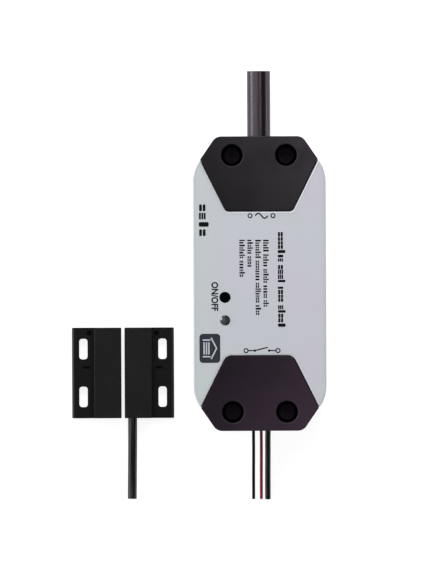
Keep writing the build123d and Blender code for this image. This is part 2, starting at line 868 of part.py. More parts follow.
yoke_outer_y = relay_y + relay_length / 2 - relay_wall - relay_edge_gap / 2
yoke_inner_y = yoke_outer_y - yoke_thickness
coil_y = yoke_inner_y - coil_diameter / 2 - relay_edge_gap
coil_bottom = relay_inner_bottom + yoke_thickness
coil_top = coil_bottom + coil_height
pole_top = coil_top + pole_thickness
yoke_top = pole_top + armature_pole_gap - armature_seat_gap
armature_bottom = yoke_top + armature_seat_gap
armature_top = armature_bottom + armature_thickness
armature_end_y = coil_y - pole_diameter / 2 - yoke_thickness / 2
fixed_contact_y = relay_y - relay_length / 2 + relay_wall + contact_end_gap + contact_diameter / 2
blade_bottom = armature_top
moving_contact_bottom = blade_bottom - contact_thickness
fixed_contact_top = moving_contact_bottom - contact_gap

with BuildPart() as relay_yoke:
    with BuildSketch(Plane.XY.offset(relay_inner_bottom)):
        with Locations((relay_x, (yoke_outer_y + coil_y - coil_diameter / 2) / 2)):
            Rectangle(yoke_width, yoke_outer_y - coil_y + coil_diameter / 2)
    extrude(amount=yoke_thickness)
    with BuildSketch(Plane.XY.offset(relay_inner_bottom)):
        with Locations((relay_x, (yoke_outer_y + yoke_inner_y) / 2)):
            Rectangle(yoke_width, yoke_thickness)
    extrude(amount=yoke_top - relay_inner_bottom)

with BuildPart() as relay_core:
    with BuildSketch(Plane.XY.offset(coil_bottom)):
        with Locations((relay_x, coil_y)):
            Circle(core_rod_diameter / 2)
    extrude(amount=coil_height)
    with BuildSketch(Plane.XY.offset(coil_top)):
        with Locations((relay_x, coil_y)):
            Circle(pole_diameter / 2)
    extrude(amount=pole_thickness)

with BuildPart() as relay_coil:
    with BuildSketch(Plane.XY.offset(coil_bottom)):
        with Locations((relay_x, coil_y)):
            Circle(coil_diameter / 2)
    extrude(amount=coil_height)
    with BuildSketch(Plane.XY.offset(coil_bottom + coil_flange_thickness)):
        with Locations((relay_x, coil_y)):
            Circle(coil_diameter / 2)
            Circle(coil_diameter / 2 - coil_flange_overlap, mode=Mode.SUBTRACT)
    extrude(amount=coil_height - 2 * coil_flange_thickness, mode=Mode.SUBTRACT)
    with BuildSketch(Plane.XY.offset(coil_bottom)):
        with Locations((relay_x, coil_y)):
            Circle(core_rod_diameter / 2)
    extrude(amount=coil_height, mode=Mode.SUBTRACT)

with BuildPart() as relay_armature:
    with BuildSketch(Plane.XY.offset(armature_bottom)):
        with Locations((relay_x, (yoke_outer_y + armature_end_y) / 2)):
            Rectangle(yoke_width, yoke_outer_y - armature_end_y)
    extrude(amount=armature_thickness)

with BuildPart() as relay_contact_blade:
    blade_end_y = fixed_contact_y - contact_diameter / 2
    with BuildSketch(Plane.XY.offset(blade_bottom)):
        with Locations((relay_x, (coil_y + blade_end_y) / 2)):
            Rectangle(contact_diameter * 1.5, coil_y - blade_end_y)
    extrude(amount=contact_blade_thickness)
    with BuildSketch(Plane.XY.offset(moving_contact_bottom)):
        with Locations((relay_x, fixed_contact_y)):
            Circle(contact_diameter / 2)
    extrude(amount=contact_thickness)

with BuildPart() as relay_fixed_contact:
    with BuildSketch(Plane.XY.offset(relay_inner_bottom)):
        with Locations((relay_x, fixed_contact_y)):
            Rectangle(contact_diameter, contact_post_width)
    extrude(amount=fixed_contact_top - contact_thickness - relay_inner_bottom)
    with BuildSketch(Plane.XY.offset(fixed_contact_top - contact_thickness)):
        with Locations((relay_x, fixed_contact_y)):
            Circle(contact_diameter / 2)
    extrude(amount=contact_thickness)

# Switching supply: transformer, two capacitors, rectifier, fuse and varistor
transformer_x = half_width - wall - board_gap - component_gap - transformer_width / 2
transformer_y = hall_inner_end - component_gap - transformer_length / 2
with BuildPart() as transformer_core:
    with BuildSketch(Plane.XY.offset(board_top + bobbin_wall)):
        with Locations((transformer_x, transformer_y)):
            Rectangle(transformer_width, transformer_length - 4 * bobbin_wall)
    extrude(amount=transformer_height - bobbin_wall)
    with BuildSketch(Plane.XY.offset(board_top + bobbin_wall + winding_inset)):
        with Locations((transformer_x, transformer_y)):
            Rectangle(transformer_width - 4 * winding_inset, transformer_length)
    extrude(
        amount=transformer_height - bobbin_wall - 2 * winding_inset, mode=Mode.SUBTRACT
    )

with BuildPart() as transformer_winding:
    with BuildSketch(Plane.XY.offset(board_top + bobbin_wall + winding_inset)):
        with Locations((transformer_x, transformer_y)):
            Rectangle(transformer_width - 4 * winding_inset, transformer_length - 2 * bobbin_wall)
    extrude(amount=transformer_height - bobbin_wall - 2 * winding_inset)
    with BuildSketch(Plane.XY.offset(board_top)):
        with Locations((transformer_x, transformer_y)):
            Rectangle(transformer_width - 4 * winding_inset, transformer_length)
            Rectangle(
                transformer_width, transformer_length - 4 * bobbin_wall, mode=Mode.SUBTRACT
            )
    extrude(amount=transformer_height - winding_inset)
    with BuildSketch(Plane.XY.offset(board_top)):
        with Locations((transformer_x, transformer_y)):
            Rectangle(transformer_width - 4 * winding_inset, transformer_length)
    extrude(amount=bobbin_wall)

capacitor_y = relay_y + relay_length / 2 + component_gap + capacitor_diameter / 2
capacitor_places = [
    (relay_x + relay_width / 2 - capacitor_diameter / 2, capacitor_y),
    (relay_x - relay_width / 2 + capacitor_diameter / 2, capacitor_y),
]
with BuildPart() as supply_capacitors:
    with BuildSketch(Plane.XY.offset(board_top)):
        with Locations(*capacitor_places):
            Circle(capacitor_diameter / 2)
    extrude(amount=capacitor_height)
    fillet(supply_capacitors.edges().filter_by(GeomType.CIRCLE), capacitor_diameter * soft_edge_share)

# The rectifier and the fuse lie low, under the hall's end wall
front_row_y = (hall_inner_end + terminal_inner_y) / 2
with BuildPart() as rectifier:
    with BuildSketch(Plane.XY.offset(board_top)):
        with Locations((cover_inner_width / 4, front_row_y)):
            Rectangle(rectifier_length, rectifier_width)
    extrude(amount=rectifier_height)
    chamfer(rectifier.faces().sort_by(Axis.Z)[-1].edges(), rectifier_height * soft_edge_share)

radio_x = -half_width + wall + board_gap + component_gap + radio_board_width / 2
radio_y = hall_inner_end - component_gap - radio_board_length / 2
with BuildPart() as fuse:
    with Locations((-cover_inner_width / 4, front_row_y, board_top + fuse_diameter / 2)):
        Cylinder(
            fuse_diameter / 2 * fuse_tube_share, fuse_length - 2 * fuse_cap_length,
            rotation=(0, 90, 0),
        )
        with GridLocations(fuse_length - fuse_cap_length, 0, 2, 1):
            Cylinder(fuse_diameter / 2, fuse_cap_length, rotation=(0, 90, 0))

varistor_x = (
    radio_x + radio_board_width / 2 + transformer_x - transformer_width / 2
) / 2
with BuildPart() as varistor:
    with Locations((varistor_x, transformer_y, board_top + varistor_lift + varistor_diameter / 2)):
        Cylinder(varistor_diameter / 2, varistor_thickness, rotation=(0, 90, 0))
    fillet(varistor.edges().filter_by(GeomType.CIRCLE), varistor_thickness * soft_edge_share)
    with BuildSketch(Plane.XY.offset(board_top)):
        with Locations((varistor_x, transformer_y)):
            with GridLocations(0, varistor_leg_spacing, 1, 2):
                Circle(varistor_leg_diameter / 2)
    extrude(amount=varistor_lift + varistor_diameter / 2)

# Radio module: a small board with a metal shield over its chips
with BuildPart() as radio_board:
    with BuildSketch(Plane.XY.offset(board_top)):
        with Locations((radio_x, radio_y)):
            Rectangle(radio_board_width, radio_board_length)
    extrude(amount=radio_board_thickness)

with BuildPart() as radio_shield:
    shield_y = radio_y - (radio_board_length - radio_shield_length) / 2 + component_gap
    with BuildSketch(Plane.XY.offset(board_top + radio_board_thickness)):
        with Locations((radio_x, shield_y)):
            Rectangle(radio_shield_width, radio_shield_length)
    extrude(amount=radio_shield_height)
    fillet(
        radio_shield.faces().sort_by(Axis.Z)[-1].edges(), radio_shield_height * soft_edge_share
    )


# Door sensor
def sensor_x(side, distance):
    """Place across a sensor unit, measured from the face that looks at the other unit."""
    return sensor_middle_x + side * (sensor_spacing / 2 + distance)


sensor_inner_length = sensor_length - 2 * sensor_wall
sensor_inner_width = block_width - 2 * sensor_wall
sensor_end_y = sensor_y - sensor_length / 2
slot_x_from_face = sensor_width - slot_edge_distance
block_middle = block_width / 2
sensor_lead_x = sensor_x(1, sensor_lead_inset)


def make_sensor_housing(side, lead_hole):
    """Raised block with a low slotted flange on its outer side, hollow from below."""
    with BuildPart() as housing:
        with BuildSketch():
            with Locations((sensor_x(side, sensor_width / 2), sensor_y)):
                Rectangle(sensor_width, sensor_length)
        extrude(amount=flange_height)
        outer_face = housing.faces().sort_by(Axis.X)[-1 if side > 0 else 0]
        chamfer(outer_face.edges().sort_by(Axis.Z)[-1], flange_edge_bevel)
        with BuildSketch():
            with Locations((sensor_x(side, block_middle), sensor_y)):
                Rectangle(block_width, sensor_length)
        extrude(amount=block_height)
        fillet(housing.edges().filter_by(Axis.Z), sensor_edge_radius)
        fillet(housing.faces().sort_by(Axis.Z)[-1].edges(), sensor_edge_radius)
        with BuildSketch():
            with Locations((sensor_x(side, slot_x_from_face), sensor_y)):
                with GridLocations(0, slot_pitch, 1, 2):
                    RectangleRounded(slot_width, slot_length, slot_corner_radius)
        extrude(amount=block_height, mode=Mode.SUBTRACT)
        # Below, each slot is a little larger and has round ends, which the screws run in
        with BuildSketch():
            with Locations((sensor_x(side, slot_x_from_face), sensor_y)):
                with GridLocations(0, slot_pitch, 1, 2):
                    SlotOverall(slot_relief_length, slot_relief_width, rotation=90)
        extrude(amount=slot_relief_height, mode=Mode.SUBTRACT)
        with BuildSketch(Plane.XY.offset(flange_height - mark_depth)):
            with Locations((
                sensor_x(side, block_width + mark_from_block),
                sensor_y + sensor_length / 2 - mark_from_end,
            )):
                Circle(mark_radius)
            with Locations((sensor_x(side, block_width + groove_from_block), sensor_y + mark_from_end)):
                SlotOverall(groove_length, groove_width)
        extrude(amount=mark_depth + overrun, mode=Mode.SUBTRACT)
        with BuildSketch():
            with Locations((sensor_x(side, block_middle), sensor_y)):
                Rectangle(sensor_inner_width, sensor_inner_length)
        extrude(amount=block_height - sensor_roof, mode=Mode.SUBTRACT)
        if lead_hole:
            with Locations((sensor_lead_x, sensor_end_y, sensor_lead_height)):
                Cylinder(
                    sensor_lead_diameter / 2 + sensor_lead_gap, 2 * (sensor_wall + overrun),
                    rotation=(90, 0, 0), mode=Mode.SUBTRACT,
                )
    return housing


switch_housing = make_sensor_housing(1, True)
magnet_housing = make_sensor_housing(-1, False)

sensor_lead_points = [
    (sensor_lead_x + x, sensor_end_y + y, sensor_lead_height + z)
    for x, y, z in sensor_lead_route
]
switch_lead = make_wire("switch_lead", sensor_lead_points, sensor_lead_diameter)

reed_x = sensor_x(1, block_middle + reed_diameter / 2)
reed_y = sensor_y + reed_shift
reed_z = sensor_lead_height
with BuildPart() as reed_capsule:
    with BuildSketch(Plane.XZ.offset(-reed_y - reed_length / 2)):
        with Locations((reed_x, reed_z)):
            Circle(reed_diameter / 2)
    extrude(amount=reed_length)
    fillet(reed_capsule.edges().filter_by(GeomType.CIRCLE), reed_diameter / 4)
    with Locations((reed_x, reed_y, reed_z)):
        Cylinder(
            reed_diameter / 2 - reed_wall, reed_length - 4 * reed_wall,
            rotation=(90, 0, 0), mode=Mode.SUBTRACT,
        )
        Cylinder(reed_wire_diameter / 2, reed_length, rotation=(90, 0, 0), mode=Mode.SUBTRACT)

with BuildPart() as reed_blades:
    for way in (1, -1):
        outer_y = reed_y + way * (reed_length / 2 + reed_wire_length)
        seal_y = reed_y + way * (reed_length / 2 - 2 * reed_wall)
        tip_y = reed_y - way * blade_overlap / 2
        with Locations((reed_x, (outer_y + seal_y) / 2, reed_z)):
            Cylinder(reed_wire_diameter / 2, abs(outer_y - seal_y), rotation=(90, 0, 0))
        with Locations((
            reed_x, (seal_y + tip_y) / 2, reed_z + way * (blade_gap + blade_thickness) / 2
        )):
            Box(blade_width, abs(seal_y - tip_y), blade_thickness)

with BuildPart() as switch_potting:
    with BuildSketch(Plane.XY.offset(potting_recess)):
        with Locations((sensor_x(1, block_middle), sensor_y)):
            Rectangle(sensor_inner_width, sensor_inner_length)
    extrude(amount=block_height - sensor_roof - potting_recess)
    with Locations((reed_x, reed_y, reed_z)):
        Cylinder(reed_diameter / 2, reed_length, rotation=(90, 0, 0), mode=Mode.SUBTRACT)
        Cylinder(
            reed_wire_diameter / 2, reed_length + 2 * reed_wire_length,
            rotation=(90, 0, 0), mode=Mode.SUBTRACT,
        )
    with Locations((sensor_lead_x, sensor_end_y + sensor_lead_inside / 2, sensor_lead_height)):
        Cylinder(
            sensor_lead_diameter / 2 + sensor_lead_gap, sensor_lead_inside,
            rotation=(90, 0, 0), mode=Mode.SUBTRACT,
        )

magnet_x = sensor_x(-1, block_middle)
magnet_bottom = block_height - sensor_roof - magnet_height
with BuildPart() as magnet:
    with BuildSketch(Plane.XY.offset(magnet_bottom)):
        with Locations((magnet_x, sensor_y)):
            Rectangle(magnet_width, magnet_length)
    extrude(amount=magnet_height)

with BuildPart() as magnet_potting:
    with BuildSketch(Plane.XY.offset(potting_recess)):
        with Locations((magnet_x, sensor_y)):
            Rectangle(sensor_inner_width, sensor_inner_length)
    extrude(amount=block_height - sensor_roof - potting_recess)
    with BuildSketch(Plane.XY.offset(magnet_bottom)):
        with Locations((magnet_x, sensor_y)):
            Rectangle(magnet_width, magnet_length)
    extrude(amount=magnet_height, mode=Mode.SUBTRACT)

pieces = {
    "bottom_shell": bottom_shell,
    "top_shell": top_shell,
    "face_label": face_label,
    "input_cover": input_cover,
    "output_cover": output_cover,
    "cover_screws": cover_screws,
    "case_screws": case_screws,
    "main_board": main_board,
    "button_cap": button_cap,
    "switch_body": switch_body,
    "switch_stem": switch_stem,
    "status_light": status_light,
    "status_light_legs": status_light_legs,
    "input_terminal_body": input_terminal_body,
    "input_terminal_screws": input_terminal_screws,
    "output_terminal_body": output_terminal_body,
    "output_terminal_screws": output_terminal_screws,
    "mains_sheath": mains_sheath,
    "mains_live_core": mains_live_core,
    "mains_neutral_core": mains_neutral_core,
    "mains_conductors": mains_conductors,
    "relay_wire_black": relay_wire_black,
    "relay_wire_red": relay_wire_red,
    "sensor_pigtail": sensor_pigtail,
    "relay_wire_ends": relay_wire_ends,
    "pigtail_cores": pigtail_cores,
    "relay_base": relay_base,
    "relay_case": relay_case,
    "relay_yoke": relay_yoke,
    "relay_core": relay_core,
    "relay_coil": relay_coil,
    "relay_armature": relay_armature,
    "relay_contact_blade": relay_contact_blade,
    "relay_fixed_contact": relay_fixed_contact,
    "transformer_core": transformer_core,
    "transformer_winding": transformer_winding,
    "supply_capacitors": supply_capacitors,
    "rectifier": rectifier,
    "fuse": fuse,
    "varistor": varistor,
    "radio_board": radio_board,
    "radio_shield": radio_shield,
    "switch_housing": switch_housing,
    "switch_potting": switch_potting,
    "switch_lead": switch_lead,
    "reed_capsule": reed_capsule,
    "reed_blades": reed_blades,
    "magnet_housing": magnet_housing,
    "magnet": magnet,
    "magnet_potting": magnet_potting,
}
for name, piece in pieces.items():
    piece.part.label = name
    export_step(piece.part, f"parts/{name}.step")
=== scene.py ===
import bmesh
import bpy
import json
import math
import random
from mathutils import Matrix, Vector


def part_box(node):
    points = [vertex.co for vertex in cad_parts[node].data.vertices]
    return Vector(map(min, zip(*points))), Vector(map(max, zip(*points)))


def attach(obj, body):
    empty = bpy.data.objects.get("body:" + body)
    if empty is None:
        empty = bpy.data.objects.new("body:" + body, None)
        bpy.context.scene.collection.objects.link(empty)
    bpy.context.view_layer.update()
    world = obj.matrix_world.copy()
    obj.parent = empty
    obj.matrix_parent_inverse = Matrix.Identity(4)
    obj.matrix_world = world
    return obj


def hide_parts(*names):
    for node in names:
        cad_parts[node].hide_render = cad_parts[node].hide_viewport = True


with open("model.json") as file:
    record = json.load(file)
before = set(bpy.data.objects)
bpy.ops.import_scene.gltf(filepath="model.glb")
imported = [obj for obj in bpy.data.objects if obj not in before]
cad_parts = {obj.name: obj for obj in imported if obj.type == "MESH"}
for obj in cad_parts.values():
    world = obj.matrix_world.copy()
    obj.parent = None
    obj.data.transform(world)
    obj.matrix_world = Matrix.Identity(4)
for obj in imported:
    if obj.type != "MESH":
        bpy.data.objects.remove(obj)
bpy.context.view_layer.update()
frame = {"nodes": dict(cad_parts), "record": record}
record = frame["record"]
nodes = frame["nodes"]

MM = 0.001
BODY = "controller"

# The photograph's frame in pixels, its scale, and the pixel over the casing's middle
PHOTO_WIDTH = 428
PHOTO_HEIGHT = 571
PIXEL = 0.3124 * MM
CASING_PIXEL_X = 259.5
CASING_PIXEL_Y = 283.75


def at_pixel(px, py, z):
    """Point over a pixel of the photograph, at height z."""
    return Vector(((px - CASING_PIXEL_X) * PIXEL, (CASING_PIXEL_Y - py) * PIXEL, z))


def on_label(px, py):
    """Flat place on the label under a pixel of the photograph."""
    return at_pixel(px, py, 0).xy


# Camera: straight above, far off, and rolled halfway to the casing's slight turn in the photograph
LENS = 1000
SENSOR = 36
FOCUS_HEIGHT = 20 * MM
ROLL = math.radians(-0.25)
CLIP_NEAR = 0.05
CLIP_FAR = 20
frame_centre = at_pixel(PHOTO_WIDTH / 2, PHOTO_HEIGHT / 2, FOCUS_HEIGHT)
camera_data = bpy.data.cameras.new("camera")
camera_data.lens = LENS
camera_data.sensor_width = SENSOR
camera_data.clip_start = CLIP_NEAR
camera_data.clip_end = CLIP_FAR
camera = bpy.data.objects.new("camera", camera_data)
camera.location = frame_centre + Vector((0, 0, LENS / SENSOR * PHOTO_HEIGHT * PIXEL))
camera.rotation_euler.z = ROLL
bpy.context.scene.collection.objects.link(camera)
bpy.context.scene.camera = camera

# The Mix node's colour sockets
MIX_FIRST = 6
MIX_SECOND = 7
MIX_RESULT = 2

# How many radians one metre makes in a wave texture whose scale is 1
WAVE_PHASE = 20

# Marks that the moulded plastics share
ERODED_GRAIN = 0.16 * MM
ERODED_DEPTH = 0.006 * MM
SINK_SIZE = 9 * MM
SINK_DEPTH = 0.02 * MM
DUST_SIZE = 0.5 * MM
RUB_SIZE = 5 * MM
RUB_SWING = 0.07


# Node helpers
class Tree:
    """The nodes of a material or of the world."""

    def __init__(self, tree):
        self.tree = tree

    def add(self, kind, **values):
        node = self.tree.nodes.new(kind)
        for name, value in values.items():
            setattr(node, name, value)
        return node

    def link(self, source, target):
        self.tree.links.new(source, target)

    def split(self, vector):
        """X, Y and Z of a vector."""
        node = self.add("ShaderNodeSeparateXYZ")
        self.link(vector, node.inputs["Vector"])
        return node.outputs["X"], node.outputs["Y"], node.outputs["Z"]

    def maths(self, operation, first, second=None):
        """Sum on sockets or plain numbers."""
        node = self.add("ShaderNodeMath", operation=operation)
        for value, socket in ((first, node.inputs[0]), (second, node.inputs[1])):
            if isinstance(value, float):
                socket.default_value = value
            elif value is not None:
                self.link(value, socket)
        return node.outputs[0]

    def gap(self, value, place):
        """How far value is from place, on either side."""
        return self.maths("ABSOLUTE", self.maths("SUBTRACT", value, place))

    def ranged(self, value, low, high, start=0.3, end=0.7):
        """value from start..end spread over low..high; plain noise fills 0.3..0.7."""
        node = self.add("ShaderNodeMapRange")
        node.inputs["From Min"].default_value = start
        node.inputs["From Max"].default_value = end
        node.inputs["To Min"].default_value = low
        node.inputs["To Max"].default_value = high
        self.link(value, node.inputs["Value"])
        return node.outputs["Result"]

    def blend(self, factor, first, second):
        """Mix of two colours, each a tuple or a socket."""
        node = self.add("ShaderNodeMix", data_type="RGBA")
        self.link(factor, node.inputs["Factor"])
        for value, socket in ((first, node.inputs[MIX_FIRST]), (second, node.inputs[MIX_SECOND])):
            if isinstance(value, tuple):
                socket.default_value = (*value, 1)
            else:
                self.link(value, socket)
        return node.outputs[MIX_RESULT]

    def greys(self, value, low, high, stops):
        """Grey that follows value, from low to high, through stops of (value, grey)."""
        node = self.add("ShaderNodeValToRGB")
        elements = node.color_ramp.elements
        while len(elements) < len(stops):
            elements.new(0.5)
        for element, (place, grey) in zip(elements, stops):
            element.position = (place - low) / (high - low)
            element.color = (grey, grey, grey, 1)
        self.link(self.ranged(value, 0, 1, start=low, end=high), node.inputs["Fac"])
        return node.outputs["Color"]


class Recipe(Tree):
    """A material being made: its nodes, its shader and the object's own coordinates."""

    def __init__(self, name):
        self.material = bpy.data.materials.new(name)
        self.material.use_nodes = True
        super().__init__(self.material.node_tree)
        self.shader = self.tree.nodes["Principled BSDF"]
        self.place = self.add("ShaderNodeTexCoord").outputs["Object"]

    def stretched(self, scale, turn=0):
        """The coordinates with each axis scaled, for streaks, turned about Z."""
        node = self.add("ShaderNodeMapping")
        node.inputs["Scale"].default_value = scale
        node.inputs["Rotation"].default_value = (0, 0, turn)
        self.link(self.place, node.inputs["Vector"])
        return node.outputs["Vector"]

    def noise(self, size, detail=2, place=None, roughness=0.5):
        """Noise whose blotches are about size metres across."""
        node = self.add("ShaderNodeTexNoise")
        node.inputs["Scale"].default_value = 1 / size
        node.inputs["Detail"].default_value = detail
        node.inputs["Roughness"].default_value = roughness
        self.link(place or self.place, node.inputs["Vector"])
        return node.outputs["Fac"]

    def cells(self, size, feature="F1"):
        """Cells about size metres across, dark at their middle."""
        node = self.add("ShaderNodeTexVoronoi", feature=feature)
        node.inputs["Scale"].default_value = 1 / size
        self.link(self.place, node.inputs["Vector"])
        return node.outputs["Distance"]

    def waves(self, size, direction, distortion):
        """Even bands, size metres apart."""
        node = self.add("ShaderNodeTexWave", bands_direction=direction)
        node.inputs["Scale"].default_value = math.tau / WAVE_PHASE / size
        node.inputs["Distortion"].default_value = distortion
        self.link(self.place, node.inputs["Vector"])
        return node.outputs["Fac"]

    def bump(self, height, depth, before=None):
        """Surface normal from a height of 0..1, depth metres deep."""
        node = self.add("ShaderNodeBump")
        node.inputs["Distance"].default_value = depth
        self.link(height, node.inputs["Height"])
        if before:
            self.link(before, node.inputs["Normal"])
        return node.outputs["Normal"]

    def drift(self, noise, first, second):
        """Colour that goes from first to second as the noise does."""
        return self.blend(self.ranged(noise, 0, 1), first, second)

    def dusted(self, tone, dust, most):
        """tone under fine specks of the colour dust, which cover up to the share most of it."""
        specks = self.noise(DUST_SIZE, detail=4, roughness=0.7)
        return self.blend(self.ranged(specks, 0, most, start=0.55, end=0.75), tone, dust)

    def rubbed(self, rough):
        """Roughness with faint slanting rub marks."""
        marks = self.noise(RUB_SIZE, detail=5, place=self.stretched((1, 0.35, 1), turn=0.4))
        return self.ranged(marks, rough - RUB_SWING, rough + RUB_SWING)

    def eroded(self, grain=ERODED_GRAIN, depth=ERODED_DEPTH, sink=SINK_SIZE, sink_depth=SINK_DEPTH):
        """Surface from a spark-eroded mould: fine grain over wide and very shallow sinks."""
        fine = self.bump(self.noise(grain), depth)
        return self.bump(self.noise(sink, detail=1), sink_depth, fine)

    def finish(self, colour, rough, normal, **values):
        """Feeds the shader and returns the material."""
        for socket, name in ((colour, "Base Color"), (rough, "Roughness"), (normal, "Normal")):
            self.link(socket, self.shader.inputs[name])
        for name, value in values.items():
            self.shader.inputs[name.replace("_", " ")].default_value = value
        return self.material


def shade(colour, factor):
    return tuple(channel * factor for channel in colour)


def moulded(name, colour, rough, grain=ERODED_GRAIN, depth=ERODED_DEPTH, level=0.4):
    """Moulded plastic: spark-eroded grain, slow changes of tone, dust and faint rub marks."""
    cloud_size = 14 * MM
    recipe = Recipe(name)
    tone = recipe.drift(recipe.noise(cloud_size, detail=3), colour, shade(colour, 0.86))
    tone = recipe.dusted(tone, shade(colour, 1.35), most=0.25)
    return recipe.finish(
        tone, recipe.rubbed(rough), recipe.eroded(grain, depth), Specular_IOR_Level=level)


def glossy(name, colour, rough, coat=0.0):
    """Smooth shiny plastic or resin with a slight ripple and fine wiping marks."""
    cloud_size = 4 * MM
    wipe_size = 1.2 * MM
    ripple_size = 2.5 * MM
    ripple_depth = 0.012 * MM
    recipe = Recipe(name)
    tone = recipe.drift(recipe.noise(cloud_size, detail=3), colour, shade(colour, 0.8))
    wiped = recipe.noise(wipe_size, detail=6, place=recipe.stretched((1, 0.15, 1), turn=0.9))
    gloss = recipe.ranged(wiped, rough * 0.8, rough * 1.3)
    normal = recipe.bump(recipe.noise(ripple_size, detail=1), ripple_depth)
    return recipe.finish(tone, gloss, normal, Coat_Weight=coat)


def metal(name, colour, rough, streak=(1, 1, 1)):
    """Plated metal with fine drawn or turned marks and dull patches."""
    patch_size = 1.6 * MM
    mark_size = 0.12 * MM
    mark_depth = 0.004 * MM
    recipe = Recipe(name)
    tone = recipe.drift(recipe.noise(patch_size, detail=4), colour, shade(colour, 0.7))
    marks = recipe.noise(mark_size, detail=3, place=recipe.stretched(streak))
    gloss = recipe.ranged(marks, rough * 0.75, rough * 1.35)
    return recipe.finish(tone, gloss, recipe.bump(marks, mark_depth), Metallic=1.0)


def insulation(name, colour, rough, level=0.5, tint=(1, 1, 1)):
    """Extruded flexible insulation: long drawn streaks, faint dents and a soft sheen."""
    streak_size = 0.5 * MM
    streak_depth = 0.006 * MM
    dent_size = 3 * MM
    dent_depth = 0.02 * MM
    recipe = Recipe(name)
    streaks = recipe.noise(streak_size, detail=4, place=recipe.stretched((1, 0.06, 1)))
    tone = recipe.drift(streaks, colour, shade(colour, 0.75))
    gloss = recipe.ranged(streaks, rough - 0.05, rough + 0.08)
    normal = recipe.bump(recipe.noise(dent_size), dent_depth, recipe.bump(streaks, streak_depth))
    return recipe.finish(tone, gloss, normal, Specular_IOR_Level=level, Specular_Tint=(*tint, 1))


def laminate(name, colour, trace):
    """Circuit board: solder mask with the paler outline of the tracks beneath it."""
    track_size = 3.2 * MM
    track_depth = 0.03 * MM
    weave_size = 0.3 * MM
    recipe = Recipe(name)
    tracks = recipe.cells(track_size, feature="DISTANCE_TO_EDGE")
    edge = recipe.ranged(tracks, 1, 0, start=0.06, end=0.09)
    weave = recipe.noise(weave_size)
    tone = recipe.blend(edge, colour, trace)
    tone = recipe.blend(recipe.ranged(weave, 0, 0.3), tone, shade(colour, 0.6))
    gloss = recipe.ranged(weave, 0.28, 0.42)
    return recipe.finish(tone, gloss, recipe.bump(edge, track_depth))


def wound(name, colour, direction, pitch):
    """Enamelled wire laid side by side."""
    cloud_size = 1 * MM
    turn_depth = 0.08 * MM
    recipe = Recipe(name)
    turns = recipe.waves(pitch, direction, distortion=0.4)
    tone = recipe.blend(turns, shade(colour, 0.35), colour)
    gloss = recipe.ranged(recipe.noise(cloud_size, detail=3), 0.22, 0.4)
    return recipe.finish(tone, gloss, recipe.bump(turns, turn_depth), Metallic=0.7)


# Where the two sensor units' middle and outer edges are
SENSOR_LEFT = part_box("magnet_housing")[0].x
SENSOR_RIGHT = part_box("switch_housing")[1].x
SENSOR_MIDDLE = (SENSOR_LEFT + SENSOR_RIGHT) / 2
SENSOR_REACH = (SENSOR_RIGHT - SENSOR_LEFT) / 2


def sensor_plastic(name):
    """Black moulded plastic: flange darkened by painted shade, shiny at the outer edge, dull in the
    marks.
    """
    flange_painted_shade = (0.0026, 0.0026, 0.0027)
    block_black = (0.0078, 0.0078, 0.008)
    cloud_black = (0.001, 0.001, 0.001)
    flange_top = 3.2 * MM
    block_foot = 4.5 * MM
    cloud_size = 7 * MM
    drawn_size = 0.7 * MM
    sensor_sink = 8 * MM
    edge_inset_start = 0.7 * MM
    edge_inset_end = 0.5 * MM
    mark_floor = 2.6 * MM
    mark_dull = 0.03 * MM
    mark_clear = 0.12 * MM
    top_shine = 0.17
    edge_shine = 0.75
    mark_share = 0.1
    recipe = Recipe(name)
    x, _, z = recipe.split(recipe.place)
    # Painted shade: the flange below the block is coloured darker than the block
    above_painted_shade = recipe.ranged(z, 0, 1, start=flange_top, end=block_foot)
    tone = recipe.blend(above_painted_shade, flange_painted_shade, block_black)
    clouds = recipe.ranged(recipe.noise(cloud_size, detail=3), 0, 0.3)
    tone = recipe.blend(clouds, tone, cloud_black)
    drawn = recipe.noise(drawn_size, detail=4, place=recipe.stretched((1, 0.12, 1)))
    gloss = recipe.ranged(drawn, 0.3, 0.42)
    edge = recipe.ranged(
        recipe.gap(x, SENSOR_MIDDLE), top_shine, edge_shine,
        start=SENSOR_REACH - edge_inset_start, end=SENSOR_REACH - edge_inset_end,
    )
    clear = recipe.ranged(recipe.gap(z, mark_floor), mark_share, 1, start=mark_dull, end=mark_clear)
    shine = recipe.maths("MULTIPLY", edge, clear)
    recipe.link(shine, recipe.shader.inputs["Specular IOR Level"])
    return recipe.finish(tone, gloss, recipe.eroded(sink=sensor_sink))


